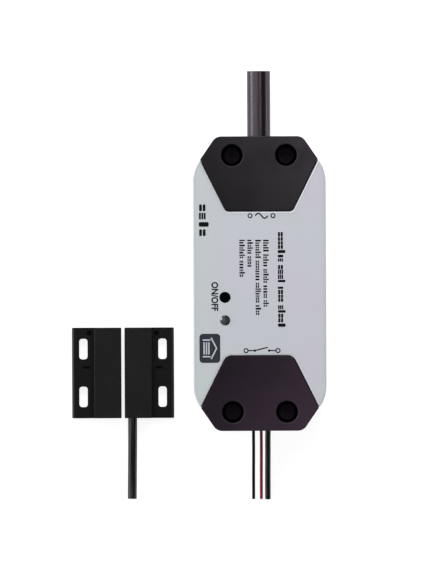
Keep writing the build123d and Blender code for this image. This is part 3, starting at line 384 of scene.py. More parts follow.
def cover_plastic(name):
    """Purple-cast black moulded plastic, with a painted sheen to the right and outwards and painted
    highlights round the recesses.
    """
    mains_dark = (0.0045, 0.0042, 0.0045)
    mains_painted_sheen = (0.0345, 0.029, 0.0365)
    output_dark = (0.0045, 0.0006, 0.0060)
    output_painted_sheen = (0.0365, 0.021, 0.0350)
    cloud_black = (0.009, 0.006, 0.010)
    dust_grey = (0.03, 0.027, 0.03)
    rim_highlight_grey = (0.036, 0.03, 0.036)
    across_start = -15 * MM
    across_end = 17 * MM
    outward_start = 24 * MM
    outward_end = 44 * MM
    middle_reach = 5 * MM
    cloud_size = 9 * MM
    recess_x = 8.45 * MM
    recess_y = 40.1 * MM
    rim_start = 3.5 * MM
    rim_end = 3.95 * MM
    recipe = Recipe(name)
    x, y, _ = recipe.split(recipe.place)
    from_middle_x = recipe.maths("ABSOLUTE", x)
    from_middle_y = recipe.maths("ABSOLUTE", y)
    # Painted sheen: the covers grow paler to the right and towards their outer ends
    across = recipe.ranged(x, 0, 0.66, start=across_start, end=across_end)
    outward = recipe.ranged(from_middle_y, 0, 0.34, start=outward_start, end=outward_end)
    painted_sheen = recipe.maths("ADD", across, outward)
    mains_tone = recipe.blend(painted_sheen, mains_dark, mains_painted_sheen)
    output_tone = recipe.blend(painted_sheen, output_dark, output_painted_sheen)
    which = recipe.ranged(y, 0, 1, start=-middle_reach, end=middle_reach)
    tone = recipe.blend(which, output_tone, mains_tone)
    clouds = recipe.ranged(recipe.noise(cloud_size), 0, 0.35, start=0.45, end=0.65)
    tone = recipe.blend(clouds, tone, cloud_black)
    tone = recipe.dusted(tone, dust_grey, most=0.2)
    # Distance from the middle of the nearest recess
    offsets = [
        recipe.maths("SUBTRACT", from_middle_x, recess_x),
        recipe.maths("SUBTRACT", from_middle_y, recess_y),
    ]
    squares = [recipe.maths("MULTIPLY", offset, offset) for offset in offsets]
    radius = recipe.maths("SQRT", recipe.maths("ADD", *squares))
    # Painted highlight: a paler ring along the edge of each recess
    rim = recipe.ranged(radius, 0.7, 0, start=rim_start, end=rim_end)
    tone = recipe.blend(rim, tone, rim_highlight_grey)
    return recipe.finish(tone, recipe.rubbed(0.5), recipe.eroded(), Specular_IOR_Level=0.15)


def label_film(name):
    """Silver film: satin, with a soft green cast on one side and a lavender one elsewhere."""
    silver = (0.555, 0.575, 0.625)
    green = (0.53, 0.6, 0.585)
    lavender = (0.575, 0.555, 0.64)
    flake_silver = (0.75, 0.77, 0.8)
    border_start = -19 * MM
    border_end = -12 * MM
    lavender_size = 22 * MM
    green_size = 16 * MM
    flake_size = 0.07 * MM
    brush_size = 0.25 * MM
    brush_depth = 0.0012 * MM
    ripple_size = 12 * MM
    ripple_depth = 0.03 * MM
    recipe = Recipe(name)
    x, _, _ = recipe.split(recipe.place)
    lavender_clouds = recipe.ranged(recipe.noise(lavender_size), 0, 1, start=0.4, end=0.62)
    tone = recipe.blend(lavender_clouds, silver, lavender)
    green_noise = recipe.noise(green_size, detail=3, place=recipe.stretched((1.3, 0.8, 1)))
    tone = recipe.blend(recipe.ranged(green_noise, 0, 0.7, start=0.5, end=0.7), tone, green)
    tone = recipe.blend(recipe.ranged(x, 0.7, 0, start=border_start, end=border_end), tone, green)
    flakes = recipe.ranged(recipe.cells(flake_size), 0, 0.12, start=0.2, end=0.6)
    tone = recipe.blend(flakes, tone, flake_silver)
    brushed = recipe.noise(brush_size, detail=4, place=recipe.stretched((1, 0.05, 1)))
    gloss = recipe.ranged(brushed, 0.38, 0.5)
    ripple = recipe.bump(recipe.noise(ripple_size, detail=1), ripple_depth)
    normal = recipe.bump(brushed, brush_depth, ripple)
    return recipe.finish(tone, gloss, normal, Metallic=0.15, Specular_IOR_Level=0.4)


def silver_plastic(name):
    """Silver-coloured moulded plastic of the two shells."""
    silver = (0.56, 0.58, 0.62)
    green_silver = (0.535, 0.565, 0.59)
    flake_silver = (0.72, 0.73, 0.76)
    handled_grey = (0.42, 0.43, 0.45)
    cloud_size = 18 * MM
    flake_size = 0.06 * MM
    handled_size = 3 * MM
    shell_grain = 0.14 * MM
    shell_depth = 0.005 * MM
    shell_sink = 10 * MM
    shell_sink_depth = 0.03 * MM
    recipe = Recipe(name)
    tone = recipe.drift(recipe.noise(cloud_size, detail=3), silver, green_silver)
    flakes = recipe.ranged(recipe.cells(flake_size), 0, 0.2, start=0.1, end=0.6)
    tone = recipe.blend(flakes, tone, flake_silver)
    handled = recipe.noise(handled_size, detail=5, roughness=0.65)
    tone = recipe.blend(recipe.ranged(handled, 0, 0.14, start=0.55, end=0.75), tone, handled_grey)
    gloss = recipe.ranged(handled, 0.45, 0.58)
    normal = recipe.eroded(shell_grain, shell_depth, shell_sink, shell_sink_depth)
    return recipe.finish(tone, gloss, normal, Specular_IOR_Level=0.3)


def smoky_lens(name):
    """Cloudy grey resin of the status light under a clear, very smooth surface."""
    pale_smoke = (0.024, 0.025, 0.03)
    dark_smoke = (0.01, 0.011, 0.013)
    haze_size = 1.1 * MM
    haze_depth = 0.001 * MM
    wipe_size = 0.5 * MM
    recipe = Recipe(name)
    haze = recipe.noise(haze_size)
    tone = recipe.drift(haze, pale_smoke, dark_smoke)
    gloss = recipe.ranged(recipe.noise(wipe_size, detail=3), 0.03, 0.07)
    return recipe.finish(
        tone, gloss, recipe.bump(haze, haze_depth),
        Transmission_Weight=0.1, Coat_Weight=1.0, Coat_IOR=1.7)


def clear_glass(name, colour):
    """Clear glass with fine seeds in it."""
    seed_size = 0.6 * MM
    seed_depth = 0.003 * MM
    recipe = Recipe(name)
    seeds = recipe.noise(seed_size, detail=3)
    tone = recipe.drift(seeds, colour, shade(colour, 0.85))
    gloss = recipe.ranged(seeds, 0.02, 0.08)
    return recipe.finish(tone, gloss, recipe.bump(seeds, seed_depth), Transmission_Weight=0.95)


def ink(name, colour):
    """Printing ink that is slightly thin in places."""
    thin_size = 0.22 * MM
    ink_depth = 0.002 * MM
    recipe = Recipe(name)
    thin = recipe.ranged(recipe.noise(thin_size, detail=4, roughness=0.7), 0, 1, start=0.5, end=0.8)
    tone = recipe.blend(recipe.ranged(thin, 0, 0.35, start=0, end=1), colour, shade(colour, 2.2))
    gloss = recipe.ranged(thin, 0.35, 0.5)
    return recipe.finish(tone, gloss, recipe.bump(thin, ink_depth), Specular_IOR_Level=0.12)


finishes = {
    "casing_plastic": silver_plastic("casing_plastic"),
    "label_film": label_film("label_film"),
    "cover_plastic": cover_plastic("cover_plastic"),
    "screw_steel": metal("screw_steel", (0.2, 0.2, 0.21), rough=0.4),
    "board_laminate": laminate("board_laminate", (0.02, 0.13, 0.05), (0.06, 0.3, 0.12)),
    "button_plastic": moulded("button_plastic", (0.0008, 0.0008, 0.0016), rough=0.4, level=0.02),
    "lens": smoky_lens("lens"),
    "tinned_wire": metal("tinned_wire", (0.62, 0.62, 0.64), rough=0.25, streak=(1, 1, 0.1)),
    "terminal_plastic": moulded("terminal_plastic", (0.02, 0.16, 0.05), rough=0.42),
    "terminal_steel": metal("terminal_steel", (0.55, 0.55, 0.58), rough=0.32),
    "sheath": insulation(
        "sheath", (0.0054, 0.0046, 0.0056), rough=0.18, level=0.9, tint=(1, 0.84, 0.97)),
    "live_insulation": insulation("live_insulation", (0.13, 0.045, 0.018), rough=0.35),
    "neutral_insulation": insulation("neutral_insulation", (0.01, 0.05, 0.3), rough=0.35),
    "black_insulation": insulation("black_insulation", (0.004, 0.004, 0.0046), rough=0.34, level=0.12),
    "red_insulation": insulation("red_insulation", (0.3, 0.026, 0.045), rough=0.36, level=0.4),
    "copper": metal("copper", (0.72, 0.34, 0.18), rough=0.3),
    "relay_plastic": glossy("relay_plastic", (0.01, 0.06, 0.3), rough=0.22),
    "relay_iron": metal("relay_iron", (0.42, 0.42, 0.44), rough=0.38, streak=(1, 0.1, 1)),
    "winding": wound("winding", (0.5, 0.17, 0.05), "Z", pitch=0.2 * MM),
    "contact_metal": metal("contact_metal", (0.7, 0.5, 0.25), rough=0.28),
    "ferrite": moulded("ferrite", (0.03, 0.03, 0.033), rough=0.6, grain=0.3 * MM, depth=0.02 * MM),
    "capacitor_sleeve": glossy("capacitor_sleeve", (0.02, 0.03, 0.07), rough=0.25, coat=0.4),
    "component_black": moulded("component_black", (0.012, 0.012, 0.012), rough=0.5),
    "fuse_body": glossy("fuse_body", (0.22, 0.11, 0.04), rough=0.3),
    "varistor_blue": glossy("varistor_blue", (0.01, 0.07, 0.32), rough=0.34),
    "radio_laminate": laminate("radio_laminate", (0.01, 0.03, 0.12), (0.04, 0.1, 0.3)),
    "shield_steel": metal("shield_steel", (0.6, 0.6, 0.62), rough=0.3, streak=(0.1, 1, 1)),
    "sensor_plastic": sensor_plastic("sensor_plastic"),
    "potting": glossy("potting", (0.012, 0.012, 0.013), rough=0.2),
    "reed_glass": clear_glass("reed_glass", (0.55, 0.75, 0.62)),
    "magnet_plating": metal("magnet_plating", (0.55, 0.55, 0.57), rough=0.2),
}
lens_rim = metal("lens_rim", (0.07, 0.073, 0.082), rough=0.12)
label_ink = ink("label_ink", (0.0035, 0.0035, 0.005))
badge_ink = ink("badge_ink", (0.03, 0.034, 0.043))
silver_ink = ink("silver_ink", (0.5, 0.52, 0.56))
lead_sheath = insulation("lead_sheath", (0.0046, 0.0046, 0.0054), rough=0.2, level=0.6)
black_steel = metal("black_steel", (0.035, 0.027, 0.04), rough=0.5)

for part in record["subparts"]:
    sunk = part["node"] == "cover_screws"
    for holder in nodes[part["node"]].material_slots:
        holder.material = black_steel if sunk else finishes[part["material_slot"]]


# Mesh helpers
def new_piece(name, mesh, finish):
    """Adds a mesh as a piece that rides on the controller."""
    piece = bpy.data.objects.new(name, mesh)
    bpy.context.scene.collection.objects.link(piece)
    mesh.materials.append(finish)
    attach(piece, BODY)
    return piece


def shape_piece(name, shape, finish):
    """Turns a finished bmesh into a piece."""
    bmesh.ops.recalc_face_normals(shape, faces=shape.faces)
    mesh = bpy.data.meshes.new(name)
    shape.to_mesh(mesh)
    shape.free()
    return new_piece(name, mesh, finish)


def rounded_outline(width, height, radius, steps=5):
    """Outline of a rectangle with round corners, about its middle."""
    points = []
    for quarter, (sx, sy) in enumerate(((1, 1), (-1, 1), (-1, -1), (1, -1))):
        for step in range(steps + 1):
            angle = (quarter + step / steps) * math.pi / 2
            points.append((
                sx * (width / 2 - radius) + radius * math.cos(angle),
                sy * (height / 2 - radius) + radius * math.sin(angle),
            ))
    return points


def ring(centre, radius, steps=20):
    """Points of a flat circle."""
    return [
        centre + Vector((math.cos(n * math.tau / steps), math.sin(n * math.tau / steps))) * radius
        for n in range(steps)
    ]


def add_slab(shape, outline, bottom, top, centre):
    """Closed slab with the given outline, moved to centre."""
    lower = [shape.verts.new((x + centre[0], y + centre[1], bottom)) for x, y in outline]
    upper = [shape.verts.new((x + centre[0], y + centre[1], top)) for x, y in outline]
    shape.faces.new(lower[::-1])
    shape.faces.new(upper)
    for n in range(len(outline)):
        after = (n + 1) % len(outline)
        shape.faces.new((lower[n], lower[after], upper[after], upper[n]))


# A mitred corner is at most one over this times as wide as its band
MITRE_LIMIT = 0.4


def add_band(shape, points, width, bottom, top, closed=False):
    """Flat line of the given width along points, mitred at its corners."""
    count = len(points)
    last = count - 1
    steps = [(points[(n + 1) % count] - points[n]).normalized() for n in range(count)]
    rows = []
    for n, point in enumerate(points):
        ways = []
        if n or closed:
            ways.append(steps[n - 1])
        if n < last or closed:
            ways.append(steps[n])
        way = sum(ways, Vector((0, 0))).normalized()
        side = Vector((-way.y, way.x)) * width / 2 / max(MITRE_LIMIT, abs(way.dot(ways[0])))
        corners = ((1, bottom), (-1, bottom), (-1, top), (1, top))
        rows.append([shape.verts.new((*(point + side * sign), z)) for sign, z in corners])
    for n in range(count if closed else last):
        row, after = rows[n], rows[(n + 1) % count]
        for a in range(4):
            b = (a + 1) % 4
            shape.faces.new((row[a], row[b], after[b], after[a]))
    if not closed:
        shape.faces.new(rows[0][::-1])
        shape.faces.new(rows[-1])


TURNED_SIDES = 48


def turned(profile, centre):
    """Closed solid turned about a vertical line; profile is a list of (radius, height).

    A profile that starts and ends on the line is closed there, and any other is joined end to start.
    """
    shape = bmesh.new()
    rings = []
    for radius, height in profile:
        angles = [n * math.tau / TURNED_SIDES for n in range(TURNED_SIDES if radius else 1)]
        rings.append([
            shape.verts.new((centre.x + radius * math.cos(a), centre.y + radius * math.sin(a), height))
            for a in angles
        ])
    hollow = len(rings[0]) > 1
    for lower, upper in zip(rings, rings[1:] + rings[:1] if hollow else rings[1:]):
        for n in range(TURNED_SIDES):
            after = (n + 1) % TURNED_SIDES
            corners = [
                lower[n % len(lower)], lower[after % len(lower)],
                upper[after % len(upper)], upper[n % len(upper)],
            ]
            shape.faces.new(list(dict.fromkeys(corners)))
    return shape


# Status light: a smoky lens, almost flat, in a polished bevelled rim
LENS_FLANGE = 1 * MM
LENS_CROWN = 0.02 * MM
RIM_OUTER = 1.5 * MM
RIM_INNER = 1.04 * MM
RIM_RISE = 0.34 * MM
RIM_WALL = 0.03 * MM
light_low, light_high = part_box("status_light")
light_middle = (light_low + light_high) / 2
flange_radius = (light_high.x - light_low.x) / 2
flange_top = light_low.z + LENS_FLANGE
rim_top = light_high.z - LENS_CROWN
rim_foot = rim_top - RIM_RISE
crown = [
    (RIM_INNER * radius, rim_top + LENS_CROWN * rise)
    for radius, rise in ((1, 0), (0.7, 0.5), (0.35, 0.9), (0, 1))
]
lens = turned([
    (0, light_low.z), (flange_radius, light_low.z), (flange_radius, flange_top),
    (RIM_OUTER, flange_top), (RIM_OUTER, rim_foot), *crown,
], light_middle)
lens_piece = shape_piece("status_lens", lens, finishes["lens"])
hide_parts("status_light")
rim = turned([
    (RIM_OUTER, rim_foot), (RIM_OUTER + RIM_WALL, rim_foot),
    (RIM_INNER + RIM_WALL, rim_top + RIM_WALL), (RIM_INNER, rim_top),
], light_middle)
shape_piece("status_lens_rim", rim, lens_rim)

# Printing on the label: it reads downwards in the photograph, with its tops to the right
INK_SINK = 0.004 * MM
INK_PROUD = 0.008 * MM
label_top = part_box("face_label")[1].z
ink_bottom = label_top - INK_SINK
ink_top = label_top + INK_PROUD

# Shares of a mark's height or width
LOW_MARK = 0.72
UPRIGHT = 0.7
BAR_CORNER = 0.3

# A mark's width and the gap between words, in steps
NARROWEST = 0.8
WIDEST = 1.2
WORD_GAP = 0.7


def add_bar(shape, centre, high, wide):
    """Bar of ink: high is across the line of print and wide along it."""
    outline = rounded_outline(high, wide, min(high, wide) * BAR_CORNER, steps=3)
    add_slab(shape, outline, ink_bottom, ink_top, centre)


def add_mark(shape, kind, foot, y, height, width, weight):
    """One mark of print, built of plain bars, with its foot at x = foot."""
    low = height * LOW_MARK
    if kind == "tall":
        add_bar(shape, (foot + height / 2, y), height, width * UPRIGHT)
    elif kind == "low":
        add_bar(shape, (foot + low / 2, y), low, width * UPRIGHT)
    else:
        count = 3 if kind == "three" else 2
        for n in range(count):
            add_bar(shape, (foot + low * (n + 0.5) / count, y), low / count * weight, width)


def print_row(shape, px, py_start, py_end, height, step, rng, word, heavy, weight):
    """One line of print that runs down the label from py_start to py_end: bars, no letters.

    word is the fewest and the most marks in a word, heavy the inked share of a step, and weight the inked
    share of the height that each of a mark's stacked bars has.
    """
    y = on_label(px, py_start).y
    end = on_label(px, py_end).y
    foot = on_label(px, py_start).x - height / 2
    while y > end:
        for _ in range(rng.randint(*word)):
            width = step * rng.uniform(NARROWEST, WIDEST)
            if y - width < end:
                return
            kind = rng.choice(("tall", "low", "low", "two", "two", "three"))
            add_mark(shape, kind, foot, y - width / 2, height, width * heavy, weight)
            y -= width
        y -= step * WORD_GAP


# Title row and the small rows beside it: where they run in the photograph, and the size of their marks
TITLE_PIXEL_X = 281.6
TITLE_PIXEL_START = 232.2
TITLE_PIXEL_END = 333
TITLE_HEIGHT = 2.4 * MM
TITLE_STEP = 1.35 * MM
SMALL_PIXEL_START = 239.5
SMALL_PIXEL_X_AND_END = ((266, 309), (258.2, 318), (250.2, 268), (242.2, 279))
SMALL_HEIGHT = 1.75 * MM
SMALL_STEP = 0.82 * MM
SEED = 11
rng = random.Random(SEED)
small_print = bmesh.new()
print_row(
    small_print, TITLE_PIXEL_X, TITLE_PIXEL_START, TITLE_PIXEL_END, TITLE_HEIGHT, TITLE_STEP,
    rng, word=(4, 7), heavy=0.94, weight=0.8,
)
for px, py_end in SMALL_PIXEL_X_AND_END:
    print_row(
        small_print, px, SMALL_PIXEL_START, py_end, SMALL_HEIGHT, SMALL_STEP,
        rng, word=(4, 8), heavy=0.88, weight=0.7,
    )
shape_piece("label_small_print", small_print, label_ink)

# Bold row of bars above the button's place
BOLD_PIXEL_X = 204
BOLD_PIXEL_START = 207.8
BOLD_PIXEL_STEP = 8.3
BOLD_HEIGHT = 3.1 * MM
BOLD_WIDTH = 2.1 * MM
bold_row = bmesh.new()
for n, kind in enumerate(("two", "three", "tall", "two")):
    place = on_label(BOLD_PIXEL_X, BOLD_PIXEL_START + BOLD_PIXEL_STEP * n)
    foot = place.x - BOLD_HEIGHT / 2
    add_mark(bold_row, kind, foot, place.y, BOLD_HEIGHT, BOLD_WIDTH, weight=0.78)
shape_piece("label_bold_row", bold_row, label_ink)

# Signs at the two ends, each between two round terminals
SIGN_STROKE = 0.36 * MM
TERMINAL_RADIUS = 0.62 * MM
INPUT_SPAN = 8.4 * MM
INPUT_PIXEL_X = 261.75
INPUT_PIXEL_Y = 216
OUTPUT_SPAN = 11.2 * MM
OUTPUT_PIXEL_X = 261.7
OUTPUT_PIXEL_Y = 350.75


def add_terminal(shape, middle, span, side):
    """Ring at one end of a sign, and the place of its middle."""
    terminal = middle + Vector((side * (span / 2 - TERMINAL_RADIUS), 0))
    add_band(shape, ring(terminal, TERMINAL_RADIUS), SIGN_STROKE, ink_bottom, ink_top, closed=True)
    return terminal


# Mains side: alternating current
WAVE_LENGTH = 3.9 * MM
WAVE_HEIGHT = 0.78 * MM
WAVE_STROKE = SIGN_STROKE * 1.2
WAVE_STEPS = 24
input_sign = bmesh.new()
middle = on_label(INPUT_PIXEL_X, INPUT_PIXEL_Y)
for side in (-1, 1):
    add_terminal(input_sign, middle, INPUT_SPAN, side)
wave = [
    middle + Vector((WAVE_LENGTH * (share - 0.5), WAVE_HEIGHT * math.sin(share * math.tau)))
    for share in (n / WAVE_STEPS for n in range(WAVE_STEPS + 1))
]
add_band(input_sign, wave, WAVE_STROKE, ink_bottom, ink_top)
shape_piece("label_input_sign", input_sign, label_ink)

# Output side: an open contact. Its dots and its arm stand a little prouder than what they lie on
CONTACT_REACH = OUTPUT_SPAN * 0.2
ARM_LENGTH = OUTPUT_SPAN * 0.36
ARM_RISE = 1.0 * MM
ARM_STROKE = SIGN_STROKE * 1.1
DOT_RADIUS = SIGN_STROKE * 1.1
DOT_STEPS = 14
dot_top = ink_top + INK_PROUD / 2
arm_top = ink_top + INK_PROUD / 4
output_sign = bmesh.new()
middle = on_label(OUTPUT_PIXEL_X, OUTPUT_PIXEL_Y)
dot = [tuple(point) for point in ring(Vector((0, 0)), DOT_RADIUS, DOT_STEPS)]
for side in (-1, 1):
    terminal = add_terminal(output_sign, middle, OUTPUT_SPAN, side)
    near = terminal - Vector((side * TERMINAL_RADIUS, 0))
    end = middle + Vector((side * CONTACT_REACH, 0))
    add_band(output_sign, [near, end], SIGN_STROKE, ink_bottom, ink_top)
    add_slab(output_sign, dot, ink_bottom, dot_top, end)
pivot = middle - Vector((CONTACT_REACH, 0))
arm = [pivot, pivot + Vector((ARM_LENGTH, ARM_RISE))]
add_band(output_sign, arm, ARM_STROKE, ink_bottom, arm_top)
shape_piece("label_output_sign", output_sign, label_ink)

# The words by the button. Depth and weight are in the font's own units
WORDS_PIXEL_X = 214.75
WORDS_PIXEL_Y = 296.5
WORDS_LENGTH = 9.06 * MM
WORDS_HEIGHT = 2.16 * MM
FONT_DEPTH = 0.1
FONT_WEIGHT = 0.034


def add_words(name, words, middle, length, height, finish):
    """Flat words that read downwards, length along the line and height across it."""
    curve = bpy.data.curves.new(name, "FONT")
    curve.body = words
    curve.resolution_u = 4
    curve.extrude = FONT_DEPTH
    curve.offset = FONT_WEIGHT
    holder = bpy.data.objects.new(name + "_words", curve)
    bpy.context.scene.collection.objects.link(holder)
    bpy.context.view_layer.update()
    graph = bpy.context.evaluated_depsgraph_get()
    mesh = bpy.data.meshes.new_from_object(holder.evaluated_get(graph))
    bpy.data.objects.remove(holder)
    bpy.data.curves.remove(curve)
    low = [min(vert.co[axis] for vert in mesh.vertices) for axis in range(3)]
    high = [max(vert.co[axis] for vert in mesh.vertices) for axis in range(3)]
    for vert in mesh.vertices:
        along, up, deep = (
            (vert.co[axis] - low[axis]) / (high[axis] - low[axis]) for axis in range(3)
        )
        vert.co = (
            middle.x + (up - 0.5) * height,
            middle.y - (along - 0.5) * length,
            ink_bottom + deep * (ink_top - ink_bottom),
        )
    mesh.materials.clear()
    new_piece(name, mesh, finish)


words_middle = on_label(WORDS_PIXEL_X, WORDS_PIXEL_Y)
add_words("label_on_off", "ON/OFF", words_middle, WORDS_LENGTH, WORDS_HEIGHT, label_ink)

# Dark badge
BADGE_PIXEL_X = 209.6
BADGE_PIXEL_Y = 348.3
BADGE_WIDTH = 6.5 * MM
BADGE_LENGTH = 9.1 * MM
BADGE_CORNER = 1.1 * MM
badge_middle = on_label(BADGE_PIXEL_X, BADGE_PIXEL_Y)
badge = bmesh.new()
badge_outline = rounded_outline(BADGE_WIDTH, BADGE_LENGTH, BADGE_CORNER)
add_slab(badge, badge_outline, ink_bottom, ink_top, badge_middle)
shape_piece("label_badge", badge, badge_ink)

# Outline of a garage door on the badge: places across and up from its middle
DOOR_STROKE = 0.42 * MM
ROOF_REACH = 3.3 * MM
EAVES = 0.4 * MM
RIDGE = 2.1 * MM
WALL_PLACE = 2.6 * MM
WALL_TOP = 0.2 * MM
WALL_FOOT = -2.2 * MM
SLAT_REACH = 1.9 * MM
SLAT_TOP = -0.3 * MM
SLAT_STEP = 0.75 * MM
roof = [(-ROOF_REACH, EAVES), (0, RIDGE), (ROOF_REACH, EAVES)]
walls = [[(side * WALL_PLACE, WALL_TOP), (side * WALL_PLACE, WALL_FOOT)] for side in (-1, 1)]
slat_places = [SLAT_TOP - n * SLAT_STEP for n in range(3)]
slats = [[(-SLAT_REACH, place), (SLAT_REACH, place)] for place in slat_places]
door = bmesh.new()
for line in (roof, *walls, *slats):
    points = [badge_middle + Vector((up, -along)) for along, up in line]
    add_band(door, points, DOOR_STROKE, ink_top - INK_SINK, ink_top + INK_PROUD)
shape_piece("label_door_sign", door, silver_ink)


# Wires: the routes are those of part.py
def scaled(route):
    return [Vector(point) * MM for point in route]


black_wire_route = scaled([
    (-5.25, -32.35, 9.0),
    (-4.6, -36.4, 9.0),
    (-2.1, -41.6, 8.5),
    (-2.02, -47.8, 7.4),
    (-2.02, -54.0, 5.0),
    (-2.07, -60.0, 1.65),
    (-2.07, -67.5, 0.5),
])
red_wire_route = scaled([
    (-1.75, -32.35, 9.0),
    (-1.2, -36.6, 9.0),
    (0.3, -41.8, 8.3),
    (0.4, -48.0, 7.0),
    (0.4, -54.0, 4.8),
    (0.35, -60.2, 1.7),
    (0.35, -67.5, 0.5),
])
pigtail_route = scaled([
    (3.0, -36.4, 9.0),
    (2.6, -41.6, 8.6),
    (2.45, -47.6, 7.7),
    (2.45, -53.8, 5.6),
    (2.4, -60.2, 2.6),
    (2.4, -67.5, 1.0),
])
switch_lead_route = scaled([
    (-39.9, -34.0, 3.5),
    (-39.9, -46.5, 3.5),
    (-40.05, -59.2, 1.6),
    (-40.14, -67.3, 1.45),
])


def make_wire(name, node, route, diameter, finish):
    """Wire as a NURBS curve that replaces its CAD node."""
    curve = bpy.data.curves.new(name, "CURVE")
    curve.dimensions = "3D"
    curve.bevel_depth = diameter / 2
    curve.bevel_resolution = 6
    curve.resolution_u = 16
    curve.use_fill_caps = True
    spline = curve.splines.new("NURBS")
    spline.points.add(len(route) - 1)
    for point, place in zip(spline.points, route):
        point.co = (*place, 1)
    spline.order_u = 3
    spline.use_endpoint_u = True
    curve.materials.append(finish)
    wire = bpy.data.objects.new(name, curve)
    bpy.context.scene.collection.objects.link(wire)
    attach(wire, BODY)
    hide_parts(node)
    return wire


# Rods at a cut end: how far they go in and stand out, where the taper of their tip starts and how wide it
# ends as shares, and how far apart strands lie in their radii
END_SINK = 0.3 * MM
STRAND_PROUD = 0.06 * MM
CORE_PROUD = STRAND_PROUD * 0.5
TIP_START = 0.6
TIP_END = 0.8
STRAND_PITCH = 2.02
OUTER_STRANDS = 6
ROD_SIDES = 12


def add_rod(shape, centre, ahead, side, up, radius, proud):
    """Short rod with a tapered tip that points ahead."""
    lower, upper, tip = [], [], []
    for n in range(ROD_SIDES):
        angle = n * math.tau / ROD_SIDES
        spoke = (side * math.cos(angle) + up * math.sin(angle)) * radius
        lower.append(shape.verts.new(centre - ahead * END_SINK + spoke))
        upper.append(shape.verts.new(centre + ahead * proud * TIP_START + spoke))
        tip.append(shape.verts.new(centre + ahead * proud + spoke * TIP_END))
    shape.faces.new(lower)
    shape.faces.new(tip)
    for n in range(ROD_SIDES):
        after = (n + 1) % ROD_SIDES
        shape.faces.new((lower[n], lower[after], upper[after], upper[n]))
        shape.faces.new((upper[n], upper[after], tip[after], tip[n]))


def make_cut_end(name, route, cores):
    """Cores and copper strands in a wire's cut end: each core is (offset, radius, strand radius)."""
    end = route[-1]
    ahead = (route[-1] - route[-2]).normalized()
    side = ahead.cross(Vector((0, 0, 1))).normalized()
    up = side.cross(ahead)
    insulated = bmesh.new()
    strands = bmesh.new()
    for offset, radius, strand in cores:
        centre = end + side * offset
        if radius:
            add_rod(insulated, centre, ahead, side, up, radius, CORE_PROUD)
        spots = [Vector((0, 0)), *ring(Vector((0, 0)), STRAND_PITCH * strand, OUTER_STRANDS)]
        for spot in spots:
            foot = centre + side * spot.x + up * spot.y
            add_rod(strands, foot, ahead, side, up, strand, STRAND_PROUD)
    pieces = [shape_piece(name + "_strands", strands, finishes["copper"])]
    if len(insulated.verts):
        finish = finishes["black_insulation"]
        pieces.append(shape_piece(name + "_cores", insulated, finish))
    else:
        insulated.free()
    return pieces


def twin(offset, radius, strand):
    """Two cores side by side."""
    return [(-offset, radius, strand), (offset, radius, strand)]


wires = [
    dict(
        name="black_relay_wire", node="relay_wire_black", route=black_wire_route,
        diameter=0.95 * MM, length=37.1 * MM, finish=finishes["black_insulation"],
        slot="black_insulation", leaves="bottom_shell", cores=[(0, 0, 0.075 * MM)],
    ),
    dict(
        name="red_relay_wire", node="relay_wire_red", route=red_wire_route,
        diameter=0.95 * MM, length=36.7 * MM, finish=finishes["red_insulation"],
        slot="red_insulation", leaves="bottom_shell", cores=[(0, 0, 0.09 * MM)],
    ),
    dict(
        name="sensor_wire", node="sensor_pigtail", route=pigtail_route,
        diameter=1.75 * MM, length=32.3 * MM, finish=lead_sheath,
        slot="sheath", leaves="bottom_shell", cores=twin(0.36 * MM, 0.32 * MM, 0.07 * MM),
    ),
    dict(
        name="switch_wire", node="switch_lead", route=switch_lead_route,
        diameter=2.85 * MM, length=33.4 * MM, finish=lead_sheath,
        slot="sheath", leaves="switch_housing", cores=twin(0.58 * MM, 0.5 * MM, 0.1 * MM),
    ),
]
for wire in wires:
    route = wire["route"]
    piece = make_wire(
        wire["name"], wire["node"], route, wire["diameter"], wire["finish"])
    ends = make_cut_end(wire["name"] + "_end", route, wire["cores"])

# Floor: pale, white to the camera where nothing shades it
FLOOR_REACH = 3
FLOOR_DROP = 0.02 * MM
FLOOR_GREY = (0.36, 0.36, 0.36, 1)
GLOW_UNSEEN = 0.5
GLOW_SEEN = 0.86
floor_mesh = bpy.data.meshes.new("floor")
corners = [(x * FLOOR_REACH, y * FLOOR_REACH, 0) for x, y in ((-1, -1), (1, -1), (1, 1), (-1, 1))]
floor_mesh.from_pydata(corners, [], [(0, 1, 2, 3)])
floor = bpy.data.objects.new("floor", floor_mesh)
floor.location.z = -FLOOR_DROP
bpy.context.scene.collection.objects.link(floor)
floor_material = bpy.data.materials.new("floor")
floor_material.use_nodes = True
floor_material.node_tree.nodes.clear()
paint = Tree(floor_material.node_tree)
diffuse = paint.add("ShaderNodeBsdfDiffuse")
diffuse.inputs["Color"].default_value = FLOOR_GREY
rays = paint.add("ShaderNodeLightPath").outputs
seen = paint.maths("MAXIMUM", rays["Is Camera Ray"], rays["Is Transmission Ray"])
glow = paint.add("ShaderNodeEmission")
paint.link(paint.ranged(seen, GLOW_UNSEEN, GLOW_SEEN, start=0, end=1), glow.inputs["Strength"])
both = paint.add("ShaderNodeAddShader")
paint.link(diffuse.outputs[0], both.inputs[0])
paint.link(glow.outputs[0], both.inputs[1])
output = paint.add("ShaderNodeOutputMaterial")
paint.link(both.outputs[0], output.inputs["Surface"])
floor_mesh.materials.append(floor_material)

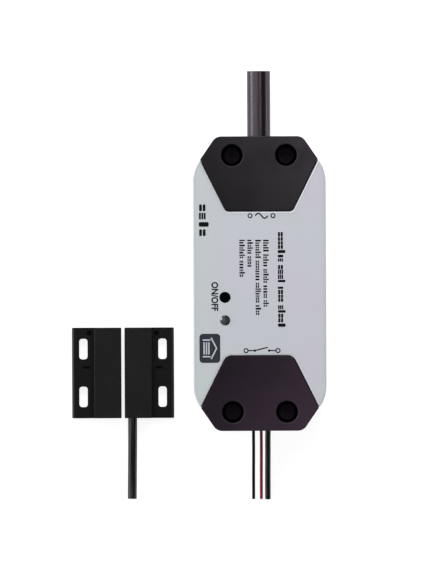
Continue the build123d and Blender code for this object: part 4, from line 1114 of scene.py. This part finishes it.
# Studio: white near the horizon, broad and pale overhead, and dark over the output end. The greys
# follow the degrees from straight up, left to right, and AWAY is the overhead ones' share along Y
OVERHEAD = [
    (-90, 1.0), (-62, 1.35), (-40, 1.45), (-10, 1.22), (4, 0.12), (13, 1.5), (21, 1.4),
    (28, 0.08), (64, 0.08), (80, 0.6),
]
OVER_OUTPUT = [
    (-90, 0.9), (-62, 0.9), (-50, 0.4), (-36, 0.1), (55, 0.08), (72, 0.2), (85, 0.4),
]
AWAY = [(-1, 1), (-0.9, 1), (-0.78, 0), (-0.1, 0), (0.0, 1), (1, 1)]
HORIZON_START = 0.05
HORIZON_END = 0.2
world = bpy.data.worlds.new("studio")
bpy.context.scene.world = world
world.use_nodes = True
background = world.node_tree.nodes["Background"]
air = Tree(world.node_tree)
x, y, z = air.split(air.add("ShaderNodeTexCoord").outputs["Generated"])
degrees = air.maths("DEGREES", air.maths("ARCTAN2", x, z))
overhead = air.greys(degrees, low=-90, high=90, stops=OVERHEAD)
over_output = air.greys(degrees, low=-90, high=90, stops=OVER_OUTPUT)
away = air.greys(y, low=-1, high=1, stops=AWAY)
sky = air.blend(away, over_output, overhead)
rise = air.ranged(z, 0, 1, start=HORIZON_START, end=HORIZON_END)
air.link(air.blend(rise, (1, 1, 1), sky), background.inputs["Color"])


def add_lamp(name, place, size, power, aim):
    """Rectangular lamp of size (wide, high) metres and power watts, aimed at a point."""
    data = bpy.data.lights.new(name, "AREA")
    data.shape = "RECTANGLE"
    data.size, data.size_y = size
    data.energy = power
    lamp = bpy.data.objects.new(name, data)
    lamp.location = place
    lamp.rotation_euler = (Vector(aim) - Vector(place)).to_track_quat("-Z", "Y").to_euler()
    bpy.context.scene.collection.objects.link(lamp)


add_lamp("key", place=(0, 0.75, 0.75), size=(0.5, 0.5), power=5.1, aim=(0, 0, 0))
add_lamp("spark", place=(-0.78, 0.32, 0.205), size=(0.5, 0.08), power=1.7, aim=(0, 0, 0.02))
add_lamp("left_strip", place=(-0.9, 0, 0.29), size=(0.8, 0.52), power=1.1, aim=(0, 0, 0.02))
add_lamp("right_strip", place=(0.9, 0, 0.1), size=(0.8, 0.18), power=0.45, aim=(0, 0, 0.01))

bpy.context.scene.view_settings.view_transform = "Standard"
